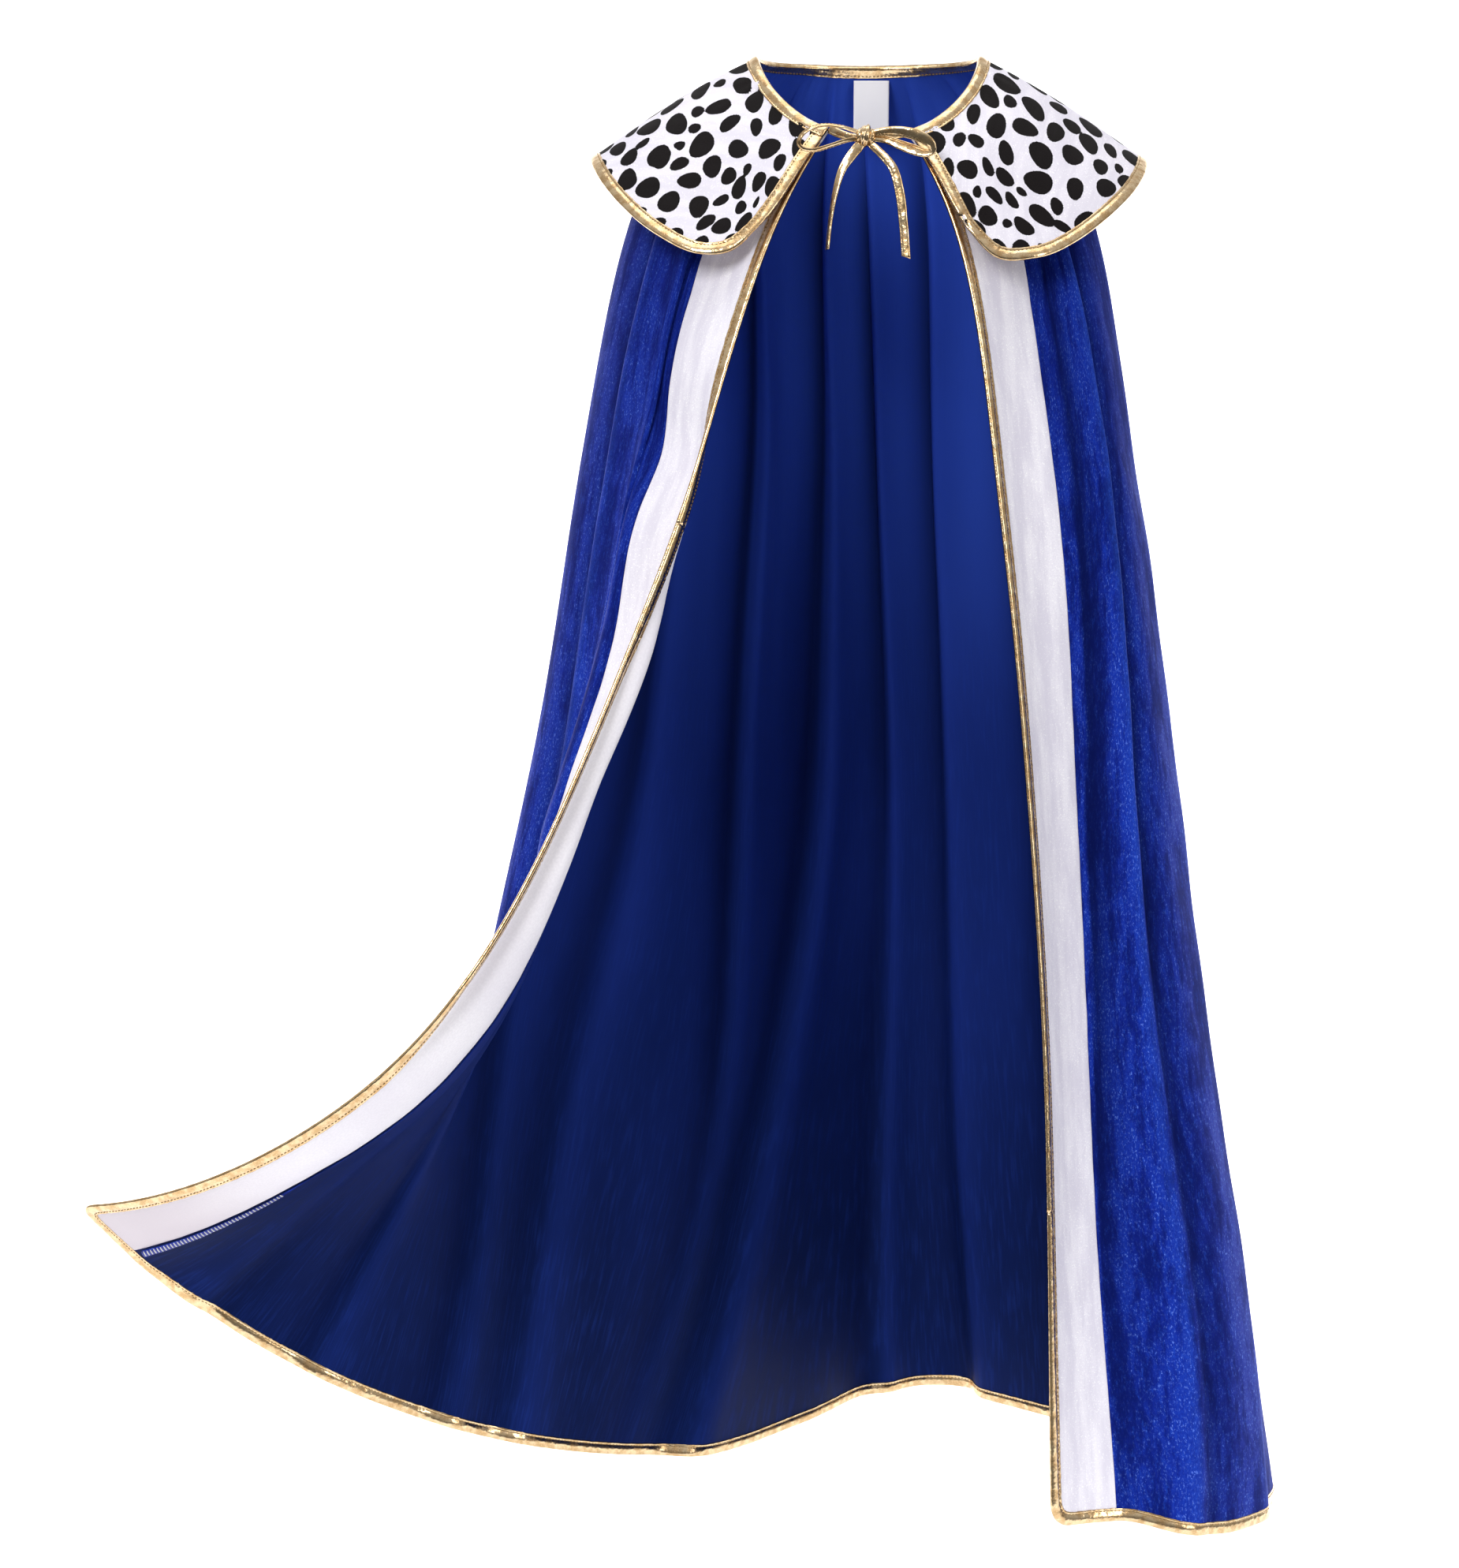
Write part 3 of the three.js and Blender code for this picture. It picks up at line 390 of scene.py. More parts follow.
CAPE, SPREAD = cape_grid(LEVELS, PLACES)
CAPE_SHADE = fold_shade(SPREAD, LEVELS)


# Rounded corners: a vertex past the arc between a side edge and the lower edge moves onto the arc
def round_corner(grid, column, radius):
    """column is 0 or -1: the side edge that meets the last row."""
    flip = grid[:, ::-1] if column == -1 else grid
    flip = flip.copy()
    gone_across = np.linalg.norm(np.diff(flip, axis=1), axis=-1)
    x = np.concatenate([np.zeros((len(flip), 1)), np.cumsum(gone_across, 1)], 1)
    gone_down = np.linalg.norm(np.diff(flip, axis=0), axis=-1)
    y = np.concatenate([np.cumsum(gone_down[::-1], 0)[::-1], np.zeros((1, flip.shape[1]))], 0)
    away = np.hypot(radius - x, radius - y)
    near = (x < radius) & (y < radius) & (away > radius)
    scale = np.where(near, radius / np.maximum(away, 1e-9), 1)
    shift_x = np.where(near, radius - (radius - x) * scale - x, 0)
    shift_y = np.where(near, radius - (radius - y) * scale - y, 0)
    right = unit(np.gradient(flip, axis=1))
    up = -unit(np.gradient(flip, axis=0))
    flip += right * shift_x[..., None] + up * shift_y[..., None]
    return flip[:, ::-1] if column == -1 else flip


EDGE_TURN = {"levels": [0, 0.3, 0.36, 0.42, 0.66, 0.74, 1], "amount": [0, 0, 0.6, 1, 1, 0, 0],
             "forward": 6.5, "round": 0.8, "squeeze": 0.72, "from": 8, "to": 19}


def turn_right_edge(grid):
    """The tape's stretch of the band stands up towards the front, seen edge on."""
    amount = np.interp(LEVELS, EDGE_TURN["levels"], EDGE_TURN["amount"])[:, None]
    out = grid.copy()
    distance = PLACES[:FIRST_BODY] + BAND_WIDTH
    offset = grid[:, :FIRST_BODY] - grid[:, :1]
    kept = smoothstep((distance - EDGE_TURN["from"]) / (EDGE_TURN["to"] - EDGE_TURN["from"]))
    narrow = 1 - amount * EDGE_TURN["squeeze"] * (1 - kept)[None, :]
    near_edge = np.clip(1 - distance / TAPE_WIDTH, 0, 1)[None, :] ** EDGE_TURN["round"]
    out[:, :FIRST_BODY, 0] = grid[:, :1, 0] + offset[..., 0] * narrow
    out[:, :FIRST_BODY, 2] = grid[:, :1, 2] + offset[..., 2] * narrow
    out[:, :FIRST_BODY, 1] -= amount * EDGE_TURN["forward"] * near_edge
    return out


CAPE = turn_right_edge(CAPE)
CAPE_CORNER = {"right": 11, "left": 15}
CAPE = round_corner(CAPE, 0, CAPE_CORNER["right"])
CAPE = round_corner(CAPE, -1, CAPE_CORNER["left"])


def collar_lift(place):
    from_front = np.minimum(place + BAND_WIDTH, BODY_WIDTH + BAND_WIDTH - place)
    front = np.clip(1 - (from_front - TAPE_WIDTH) / COLLAR_LIFT["front_width"], 0, 1)
    return COLLAR_LIFT["back"] + (COLLAR_LIFT["front"] - COLLAR_LIFT["back"]) * front


COLLAR_DEPTH = 120
COLLAR_DISTANCES = np.concatenate([np.linspace(0, TAPE_WIDTH, 6), np.linspace(10.8, COLLAR_DEPTH, 68)])
COLLAR_COLUMNS = 600
COLLAR_WAVE = {"height": 0.5, "waves": [70, 46], "seed": 29, "mm_per_degree": 2.2, "drift": 30}


def even_by_angle(count):
    """Places along the neck that lie at even angles round it."""
    places = np.linspace(-BAND_WIDTH, BODY_WIDTH + BAND_WIDTH, 4000)
    angles = neck_angle(places)
    return np.interp(np.linspace(angles[0], angles[-1], count), angles[::-1], places[::-1])


COLLAR_PLACES = even_by_angle(COLLAR_COLUMNS)


def collar_grid():
    angles = neck_angle(COLLAR_PLACES)
    knots = [-rib[0] for rib in RIBS]

    def across_ribs(values):
        return smooth(knots, values, -angles)

    lengths = across_ribs([rib[1] for rib in RIBS])
    leans = np.stack([across_ribs([rib[2][k] for rib in RIBS]) for k in range(3)], -1)
    bearings = np.stack([across_ribs([rib[3][k] for rib in RIBS]) for k in range(2)], -1)
    seated = int((COLLAR_DISTANCES <= TAPE_WIDTH).sum())
    seats, _ = cape_grid(COLLAR_DISTANCES[:seated] * MM, COLLAR_PLACES)
    seats += grid_normals(seats) * collar_lift(COLLAR_PLACES)[None, :, None]
    past_tape = np.maximum(COLLAR_DISTANCES - TAPE_WIDTH, 0) / (COLLAR_DEPTH - TAPE_WIDTH)
    grid = np.zeros((len(COLLAR_DISTANCES), len(COLLAR_PLACES), 3))
    for j, angle in enumerate(angles):
        line = hanging_line(angle, lengths[j], RIB_STEPS, leans[j], RIB_LEVELS, bearings[j], [0, 1])
        run = np.minimum(COLLAR_DISTANCES, TAPE_WIDTH) + past_tape * (lengths[j] - TAPE_WIDTH)
        points = on_line(line, run / lengths[j])
        fade = np.exp(-(run - TAPE_WIDTH) / COLLAR_LIFT["settle"])
        points += (seats[-1, j] - points[seated - 1]) * fade[:, None]
        points[:seated] = seats[:, j]
        grid[:, j] = points
    normals = grid_normals(grid)
    depth = COLLAR_DISTANCES[:, None] / COLLAR_DEPTH
    wave = ripple(angles[None, :] * COLLAR_WAVE["mm_per_degree"], COLLAR_WAVE["seed"], COLLAR_WAVE["waves"],
                  COLLAR_WAVE["drift"] * depth)
    height = COLLAR_WAVE["height"] * smoothstep((depth - 0.2) / 0.5)
    return grid + normals * (wave * height)[..., None]


COLLAR = collar_grid()
COLLAR_CORNER = 16
COLLAR = round_corner(COLLAR, 0, COLLAR_CORNER)
COLLAR = round_corner(COLLAR, -1, COLLAR_CORNER)
COLLAR_NORMALS = grid_normals(COLLAR)
CAPE_NORMALS = grid_normals(CAPE)


# Meshes
def make_mesh(name, points, faces, materials, face_slots=None, uv=None, values=None):
    mesh = bpy.data.meshes.new(name)
    mesh.from_pydata((np.asarray(points) * MM).tolist(), [], [list(map(int, f)) for f in faces])
    for material in materials:
        mesh.materials.append(material)
    if face_slots is not None:
        mesh.polygons.foreach_set("material_index", np.asarray(face_slots, np.int32))
    if uv is not None:
        layer = mesh.uv_layers.new(name="cloth_mm")
        corners = np.empty(len(mesh.loops), np.int32)
        mesh.loops.foreach_get("vertex_index", corners)
        layer.data.foreach_set("uv", np.asarray(uv, np.float32)[corners].ravel())
    for key, numbers in (values or {}).items():
        layer = mesh.attributes.new(key, "FLOAT", "POINT")
        layer.data.foreach_set("value", np.asarray(numbers, np.float32).ravel())
    mesh.polygons.foreach_set("use_smooth", np.ones(len(mesh.polygons), bool))
    mesh.validate()
    obj = bpy.data.objects.new(name, mesh)
    bpy.context.scene.collection.objects.link(obj)
    return obj


def grid_faces(rows, columns, start=0, flipped=False):
    i, j = np.meshgrid(np.arange(rows - 1), np.arange(columns - 1), indexing="ij")
    a = start + i * columns + j
    quads = np.stack([a, a + 1, a + columns + 1, a + columns], -1).reshape(-1, 4)
    return quads[:, ::-1] if flipped else quads


def tube_faces(count, size, capped=True, flipped=False):
    """Faces round a row of closed rings, and over both of its ends."""
    i, j = np.meshgrid(np.arange(count - 1), np.arange(size), indexing="ij")
    a, b = i * size + j, i * size + (j + 1) % size
    around = (a, a + size, b + size, b) if flipped else (a, b, b + size, a + size)
    faces = np.stack(around, -1).reshape(-1, 4).tolist()
    ends = [list(range(size))[::-1], list(range((count - 1) * size, count * size))]
    if flipped:
        ends = [end[::-1] for end in ends]
    return faces + ends if capped else faces


def distances(points):
    """The distance along a polyline at each of its points."""
    return np.concatenate([[0], np.cumsum(np.linalg.norm(np.diff(points, axis=0), axis=1))])


def wall(name, grid, normals, outer, inner, uv, materials, values=None):
    """A closed wall: outer and inner are heights from the middle surface, per column or per point."""
    rows, columns = grid.shape[:2]
    outer = np.broadcast_to(outer, (rows, columns))[..., None]
    inner = np.broadcast_to(inner, (rows, columns))[..., None]
    front = (grid + normals * outer).reshape(-1, 3)
    back = (grid - normals * inner).reshape(-1, 3)
    size = rows * columns
    outside = grid_faces(rows, columns, 0, True)
    inside = grid_faces(rows, columns, size)
    ring = np.concatenate([np.arange(columns), np.arange(1, rows) * columns + columns - 1,
                           (rows - 1) * columns + np.arange(columns - 2, -1, -1),
                           np.arange(rows - 2, 0, -1) * columns])
    after = np.roll(ring, -1)
    rim = np.stack([ring, after, after + size, ring + size], -1)
    faces = np.concatenate([outside, inside, rim])
    slots = np.concatenate([np.zeros(len(outside)), np.ones(len(inside)), np.zeros(len(rim))])
    both = {key: np.concatenate([numbers.ravel()] * 2) for key, numbers in (values or {}).items()}
    points = np.concatenate([front, back])
    return make_mesh(name, points, faces, materials, slots, np.concatenate([uv, uv]), both)


def cloth_uv(places, levels):
    """The cloth laid flat, in mm: across it from the right seam, and down along its grain."""
    down = np.broadcast_to(-1000 * levels[:, None], places.shape)
    return np.stack([places, down], -1).reshape(-1, 2)


# Materials
def linear(hex_colour):
    channels = [int(hex_colour[i:i + 2], 16) / 255 for i in (1, 3, 5)]
    return tuple(c / 12.92 if c <= 0.04045 else ((c + 0.055) / 1.055) ** 2.4 for c in channels) + (1.0,)


class Paint:
    """Builds one node material. An input is a number, an sRGB hex colour or another node's output."""

    def __init__(self, name, **settings):
        self.material = bpy.data.materials.new(name)
        self.material.use_nodes = True
        self.tree = self.material.node_tree
        self.finish(**settings)

    def put(self, target, value):
        if isinstance(value, bpy.types.NodeSocket):
            self.tree.links.new(value, target)
        else:
            target.default_value = linear(value) if isinstance(value, str) else value

    def node(self, kind, inputs, **properties):
        node = self.tree.nodes.new("ShaderNode" + kind)
        for key, value in properties.items():
            setattr(node, key, value)
        for socket, value in inputs.items():
            self.put(node.inputs[socket], value)
        return node

    def cloth(self, across, down):
        """The cloth's own coordinates; a unit is these sizes in mm across it and along its grain."""
        source = self.node("UVMap", {}, uv_map="cloth_mm").outputs["UV"]
        scale = (1 / across, 1 / down, 1)
        return self.node("Mapping", {"Vector": source, "Scale": scale}).outputs["Vector"]

    def below_neck(self):
        """Minus the distance along the grain from the neck edge, in mm."""
        return self.node("SeparateXYZ", {"Vector": self.cloth(1, 1)}).outputs["Y"]

    def space(self, size):
        """The object's coordinates; a unit is this size in mm."""
        source = self.node("TexCoord", {}).outputs["Object"]
        scale = (1 / (size * MM),) * 3
        return self.node("Mapping", {"Vector": source, "Scale": scale}).outputs["Vector"]

    def value(self, name):
        """A number kept on each point of the mesh."""
        return self.node("Attribute", {}, attribute_name=name).outputs["Fac"]

    def noise(self, vector, detail=2, roughness=0.5):
        inputs = {"Vector": vector, "Scale": 1.0, "Detail": detail, "Roughness": roughness}
        return self.node("TexNoise", inputs).outputs["Fac"]

    def bands(self, vector, distortion, direction):
        inputs = {"Vector": vector, "Scale": 1.0, "Distortion": distortion}
        return self.node("TexWave", inputs, wave_type="BANDS", bands_direction=direction).outputs["Fac"]

    def maths(self, operation, first, second):
        return self.node("Math", {0: first, 1: second}, operation=operation).outputs[0]

    def product(self, first, second):
        return self.maths("MULTIPLY", first, second)

    def total(self, first, share, second):
        """A share of the first and the rest of the second."""
        return self.maths("ADD", self.product(first, share), self.product(second, 1 - share))

    def band(self, value, low, high, to_low=0.0, to_high=1.0):
        inputs = {"Value": value, "From Min": low, "From Max": high, "To Min": to_low, "To Max": to_high}
        return self.node("MapRange", inputs, interpolation_type="SMOOTHSTEP").outputs[0]

    def mix(self, amount, first, second):
        return self.node("Mix", {0: amount, 6: first, 7: second}, data_type="RGBA").outputs[2]

    def bump(self, height, strength, distance, **under):
        inputs = {"Height": height, "Strength": strength, "Distance": distance * MM, **under}
        return self.node("Bump", inputs).outputs["Normal"]

    def finish(self, **inputs):
        for socket, value in inputs.items():
            self.put(self.tree.nodes["Principled BSDF"].inputs[socket.replace("_", " ")], value)
        return self.material


# Crushed velvet: its pile lies in patches, dark where it leans away and bright where it stands up, with fine
# bright flecks in the raised patches that are partly painted glints, painted highlights on the ridges of
# folds, painted shade near the neck and nearly black painted shade in the hollows of folds
def velvet_material():
    p = Paint("royal_blue_velvet", Sheen_Weight=0.14, Sheen_Roughness=0.3, Sheen_Tint="#2f62ff",
              Specular_IOR_Level=0.08, Specular_Tint="#5f86ff")
    drift = p.noise(p.cloth(33.333, 142.86), 3, 0.6)
    patches = p.noise(p.cloth(9.0909, 23.81), 4, 0.68)
    crush = p.total(drift, 0.6, patches)
    grain = p.noise(p.cloth(1.8182, 3.125), 4, 0.78)
    fleck = p.noise(p.cloth(1.6129, 2.5), 3, 0.75)
    tuft = p.noise(p.cloth(4.5455, 12.5), 4, 0.75)
    # fold: the fold shade mask, for painted shade and painted highlight
    fold = p.value("fold")
    colour = p.mix(p.band(crush, 0.4, 0.56), "#0c1864", "#122488")
    raised = p.product(p.band(crush, 0.47, 0.6), p.band(grain, 0.38, 0.6, 0.25, 1))
    colour = p.mix(raised, colour, "#1834a2")
    tufted = p.product(p.band(tuft, 0.48, 0.66), p.band(grain, 0.44, 0.62, 0.1, 0.65))
    colour = p.mix(tufted, colour, "#1d42b2")
    # Bright flecks: the pile's tips, partly their own paler blue and partly painted glints
    glinting_flecks = p.product(p.band(fleck, 0.54, 0.64), p.band(crush, 0.43, 0.58, 0.1, 0.75))
    colour = p.mix(p.product(glinting_flecks, p.band(tuft, 0.42, 0.6, 0.25, 1)), colour, "#6c90f0")
    # Painted highlight on the ridges of folds
    ridge_highlight = p.product(p.band(fold, 0.15, 0.9), p.band(grain, 0.36, 0.62, 0.2, 0.6))
    colour = p.mix(ridge_highlight, colour, "#345ccc")
    # Painted shade in the pleats near the neck, fading out by 460 mm down
    colour = p.mix(p.band(p.below_neck(), -460, -130, 0, 0.38), colour, "#081050")
    # Painted shade, nearly black, in the hollows of folds and beside the left seam
    colour = p.mix(p.band(fold, -0.8, 0.1, 0.82, 0), colour, "#060c3a")
    return p.finish(Base_Color=colour, Roughness=p.band(crush, 0.36, 0.66, 0.74, 0.55),
                    Normal=p.bump(p.total(crush, 0.5, grain), 0.3, 0.7))


# The velvet's reverse: a smooth dull knit with faint lines down its grain. Painted light makes it brighter
# blue near the neck and painted shade makes it navy towards the hem; painted shade darkens the hollows of
# folds and painted highlight lightens their ridges
def reverse_material():
    p = Paint("navy_satin_reverse", Specular_IOR_Level=0.13, Specular_Tint="#5f7ee8", Sheen_Weight=0.03,
              Sheen_Roughness=0.5, Sheen_Tint="#4a66c8")
    slub = p.noise(p.cloth(2, 33.333), 4, 0.6)
    knit = p.noise(p.cloth(0.7143, 0.7143))
    cloud = p.band(p.noise(p.cloth(100, 333.33)), 0.35, 0.65)
    down, fold = p.below_neck(), p.value("fold")
    # Painted light and shade: brighter near the neck, darker in the middle and darkest towards the hem
    lit_at_neck = p.mix(cloud, "#2a47ad", "#304fb8")
    middle = p.mix(cloud, "#14266a", "#182b76")
    shaded_at_hem = p.mix(cloud, "#09153d", "#0b1846")
    colour = p.mix(p.band(down, -180, -540), lit_at_neck, middle)
    colour = p.mix(p.band(down, -520, -930), colour, shaded_at_hem)
    colour = p.mix(p.band(slub, 0.45, 0.72, 0, 0.16), colour, "#24409f")
    # Painted shade in the hollows of folds
    colour = p.mix(p.band(fold, -0.1, 0.9, 0, 0.8), colour, "#040a2c")
    # Painted highlight on the ridges of folds
    colour = p.mix(p.band(fold, -0.8, 0, 0.2, 0), colour, "#2843ae")
    return p.finish(Base_Color=colour, Roughness=p.band(slub, 0.3, 0.7, 0.52, 0.6),
                    Normal=p.bump(p.total(slub, 0.5, knit), 0.08, 0.25))


# White velour: a short dense pile with soft streaks of painted shade down its nap and silver specks with
# painted glints
def velour(name, base, shadow, sheen, gloss):
    p = Paint(name, Sheen_Weight=sheen, Sheen_Roughness=0.4, Sheen_Tint="#ffffff", Specular_IOR_Level=gloss)
    nap = p.noise(p.cloth(11.111, 71.43), 4, 0.6)
    pile = p.noise(p.cloth(0.9091, 1.25), 3, 0.7)
    cells = p.node("TexVoronoi", {"Vector": p.cloth(0.6667, 0.6667), "Scale": 1.0}, feature="F1")
    glint = p.node("SeparateColor", {"Color": cells.outputs["Color"]}).outputs["Red"]
    spark = p.band(glint, 0.9, 0.97)
    # Painted shade: soft streaks down the nap
    colour = p.mix(p.band(nap, 0.36, 0.66), shadow, base)
    colour = p.mix(p.band(pile, 0.35, 0.6, 0.35, 0), colour, "#d2cedb")
    # Painted glints: white specks
    colour = p.mix(p.product(spark, p.band(nap, 0.3, 0.6, 0.25, 0.6)), colour, "#ffffff")
    return p, colour, nap, pile, spark


def white_material():
    p, colour, nap, pile, spark = velour("white_sparkle_velour", "#ece9f1", "#d8d4e1", 0.1, 0.3)
    roughness = p.maths("SUBTRACT", p.band(nap, 0.3, 0.7, 0.66, 0.56), p.product(spark, 0.2))
    return p.finish(Base_Color=colour, Roughness=roughness, Normal=p.bump(pile, 0.25, 0.3))


# The white cloth's reverse: matt and fine, with painted shade towards the hem that makes it greyer and warmer
def white_reverse_material():
    p = Paint("white_smooth_reverse", Roughness=0.6, Specular_IOR_Level=0.3)
    knit = p.noise(p.cloth(1, 2), 3)
    colour = p.mix(p.band(p.noise(p.cloth(50, 83.33), 3), 0.3, 0.7), "#ebe7f0", "#f4f1f7")
    colour = p.mix(p.band(knit, 0.4, 0.62, 0.2, 0), colour, "#d6d2dc")
    # Painted shade towards the hem
    colour = p.mix(p.band(p.below_neck(), -800, -960, 0, 0.85), colour, "#c9bfc7")
    return p.finish(Base_Color=colour, Normal=p.bump(knit, 0.15, 0.25))


# Printed velour: matt black ink on the pile, with a slightly fuzzy edge and a browner middle
def spotted_material():
    p, colour, nap, pile, _ = velour("spotted_velour", "#e3dfe8", "#d6d2dd", 0.03, 0.1)
    fuzz = p.noise(p.cloth(1.1111, 1.1111), 3, 0.75)
    inside = p.maths("ADD", p.value("spot"), p.band(fuzz, 0.2, 0.8, -0.4, 0.4))
    spot = p.band(inside, -0.14, 0.14)
    middle = p.product(p.band(inside, 0.3, 1.3), p.band(pile, 0.3, 0.65, 0.3, 1))
    ink = p.mix(middle, "#060303", "#120d0e")
    height = p.maths("SUBTRACT", pile, p.product(spot, 0.5))
    return p.finish(Base_Color=p.mix(spot, colour, ink), Roughness=p.band(nap, 0.3, 0.7, 0.72, 0.62),
                    Normal=p.bump(height, 0.25, 0.4))


# Foil tape: pale gold film on cloth, crumpled in soft facets that mirror the room, with a fine weave whose
# raised threads are painted near white as highlights
def gold_material():
    p = Paint("gold_foil_tape", Metallic=1.0)
    crumple = p.noise(p.space(6.25), 3)
    weave = p.noise(p.space(0.6667), 2, 0.6)
    colour = p.mix(p.band(crumple, 0.35, 0.65), "#c7a374", "#e4c9a0")
    # Painted highlights: near white specks on the weave
    colour = p.mix(p.band(weave, 0.52, 0.72, 0, 0.45), colour, "#fdebc8")
    facets = p.bump(crumple, 0.3, 1.6)
    return p.finish(Base_Color=colour, Roughness=p.band(crumple, 0.3, 0.7, 0.24, 0.15),
                    Normal=p.bump(weave, 0.16, 0.12, Normal=facets))


# Sewing thread: twisted, slightly glossy, with painted shade between its strands
def thread_material(name, colour):
    p = Paint(name, Roughness=0.5, Specular_IOR_Level=0.5, Sheen_Weight=0.2)
    twist = p.bands(p.space(0.4), 0.6, "DIAGONAL")
    shaded_between_strands = p.mix(p.band(twist, 0.2, 0.8, 0, 0.4), colour, "#20242c")
    return p.finish(Base_Color=shaded_between_strands, Normal=p.bump(twist, 0.4, 0.1))


# Label ribbon: white satin with fine ribs across it
def label_material():
    p = Paint("label_satin", Roughness=0.42, Specular_IOR_Level=0.45, Sheen_Weight=0.1)
    ribs = p.bands(p.cloth(math.inf, 0.625), 0.3, "Y")
    return p.finish(Base_Color=p.mix(ribs, "#f3f1f5", "#fdfcfe"), Normal=p.bump(ribs, 0.25, 0.12))


VELVET = velvet_material()
REVERSE = reverse_material()
WHITE = white_material()
WHITE_REVERSE = white_reverse_material()
SPOTTED = spotted_material()
GOLD = gold_material()
GOLD_THREAD = thread_material("gold_thread", "#a07c3c")
WHITE_THREAD = thread_material("white_thread", "#eef0f4")
BLUE_THREAD = thread_material("blue_thread", "#2438b4")
LABEL_SATIN = label_material()


# The cloth panels: a wall thins where it meets its seam, so that the seam lies in a shallow valley
SEAM_VALLEY = {"width": 1.4, "thickness": 0.62, "parting": 0.15}
SEAM_PUCKER = {"height": 0.25, "waves": [64, 37], "seed": 41, "width": 6}


def panel(name, first, last, seams, materials):
    grid = CAPE[:, first:last + 1].copy()
    normals = CAPE_NORMALS[:, first:last + 1]
    places = PLACES[first:last + 1]
    for column, inward in ((0, 1), (-1, -2)):
        if places[column] in seams:
            towards = unit(grid[:, inward] - grid[:, column])
            grid[:, column] += towards * SEAM_VALLEY["parting"]
    away = np.min([np.abs(places - seam) for seam in seams], axis=0)
    pucker = ripple(1000 * LEVELS[:, None], SEAM_PUCKER["seed"], SEAM_PUCKER["waves"])
    pucker = SEAM_PUCKER["height"] * pucker * np.exp(-away / SEAM_PUCKER["width"])
    grid = grid + normals * pucker[..., None]
    full = np.sqrt(np.clip(away / SEAM_VALLEY["width"], 0, 1))
    half = CLOTH / 2 * (SEAM_VALLEY["thickness"] + (1 - SEAM_VALLEY["thickness"]) * full)
    uv = cloth_uv(np.broadcast_to(places, (len(LEVELS), len(places))), LEVELS)
    # fold: the fold shade, the mask for painted shade in hollows and painted highlights on ridges
    return wall(name, grid, normals, half, half, uv, materials, {"fold": CAPE_SHADE[:, first:last + 1]})


SEAMS = [0, BODY_WIDTH]
body = panel("cape_body_cloth", FIRST_BODY, LAST_BODY, SEAMS, [VELVET, REVERSE])
band_right = panel("band_right_cloth", 0, FIRST_BODY, SEAMS, [WHITE, WHITE_REVERSE])
band_left = panel("band_left_cloth", LAST_BODY, len(PLACES) - 1, SEAMS, [WHITE, WHITE_REVERSE])


def collar_uv():
    """The collar laid flat: a ring sector, in mm."""
    neck_run = distances(COLLAR[0])
    row = np.argmin(np.abs(COLLAR_DISTANCES - 100))
    steps = np.linalg.norm(np.diff(COLLAR, axis=0), axis=-1)
    down = np.concatenate([np.zeros((1, len(COLLAR_PLACES))), np.cumsum(steps, 0)])
    spread = (distances(COLLAR[row])[-1] - neck_run[-1]) / down[row].mean()
    radius = neck_run[-1] / spread + down
    angle = neck_run / neck_run[-1] * spread
    return np.stack([radius * np.cos(angle), radius * np.sin(angle)], -1).reshape(-1, 2)


# Printed spots: ovals thrown onto the flat collar, large ones first, each clear of the others. A size is
# the least and the largest half length in mm, and how many are tried.
SPOT_SIZES = [(9.2, 11.4, 1000), (7.2, 9.2, 4600), (4.8, 6.6, 2600)]
SPOT_SHAPE = {"narrow": 0.62, "round": 0.92, "gap": 0.9, "reach": 0.75, "egg": 0.09, "dent": 0.05,
              "lean": 0.7, "seed": 23}
SPOT_MARGIN = 5


def thrown_spots(flat):
    rng = np.random.default_rng(SPOT_SHAPE["seed"])
    radius, angle = np.hypot(flat[:, 0], flat[:, 1]), np.arctan2(flat[:, 1], flat[:, 0]) % (2 * math.pi)
    low, high = np.array([radius.min(), angle.min()]), np.array([radius.max(), angle.max()])
    spots = []
    reaches = []
    for smallest, largest, tries in SPOT_SIZES:
        for _ in range(tries):
            r, turn = low + (high - low) * rng.random(2)
            longer = rng.uniform(smallest, largest)
            shorter = longer * rng.uniform(SPOT_SHAPE["narrow"], SPOT_SHAPE["round"])
            centre = np.array([r * math.cos(turn), r * math.sin(turn)])
            reach = SPOT_SHAPE["reach"] * longer + (1 - SPOT_SHAPE["reach"]) * shorter
            apart = [np.hypot(*(centre - spot[:2])) - other for spot, other in zip(spots, reaches)]
            if spots and min(apart) < reach + SPOT_SHAPE["gap"]:
                continue
            lean = turn + math.pi / 2 + rng.normal(0, SPOT_SHAPE["lean"])
            spots.append([*centre, longer, shorter, lean, *rng.uniform(0, 2 * math.pi, 2)])
            reaches.append(reach)
    return spots


def spot_field(flat):
    """How far inside the nearest spot each flat point lies, in mm; negative outside."""
    field = np.full(len(flat), -float(SPOT_MARGIN))
    for x, y, longer, shorter, lean, egg, dent in thrown_spots(flat):
        near = np.flatnonzero(np.hypot(flat[:, 0] - x, flat[:, 1] - y) < longer + SPOT_MARGIN)
        offset = flat[near] - (x, y)
        along = (offset[:, 0] * math.cos(lean) + offset[:, 1] * math.sin(lean)) / longer
        across = (offset[:, 1] * math.cos(lean) - offset[:, 0] * math.sin(lean)) / shorter
        around = np.arctan2(across, along)
        uneven = 1 + SPOT_SHAPE["egg"] * np.cos(around - egg)
        uneven += SPOT_SHAPE["dent"] * np.cos(3 * around - dent)
        inside = (1 - np.hypot(along, across) * uneven) * (longer + shorter) / 2
        field[near] = np.maximum(field[near], inside)
    return field


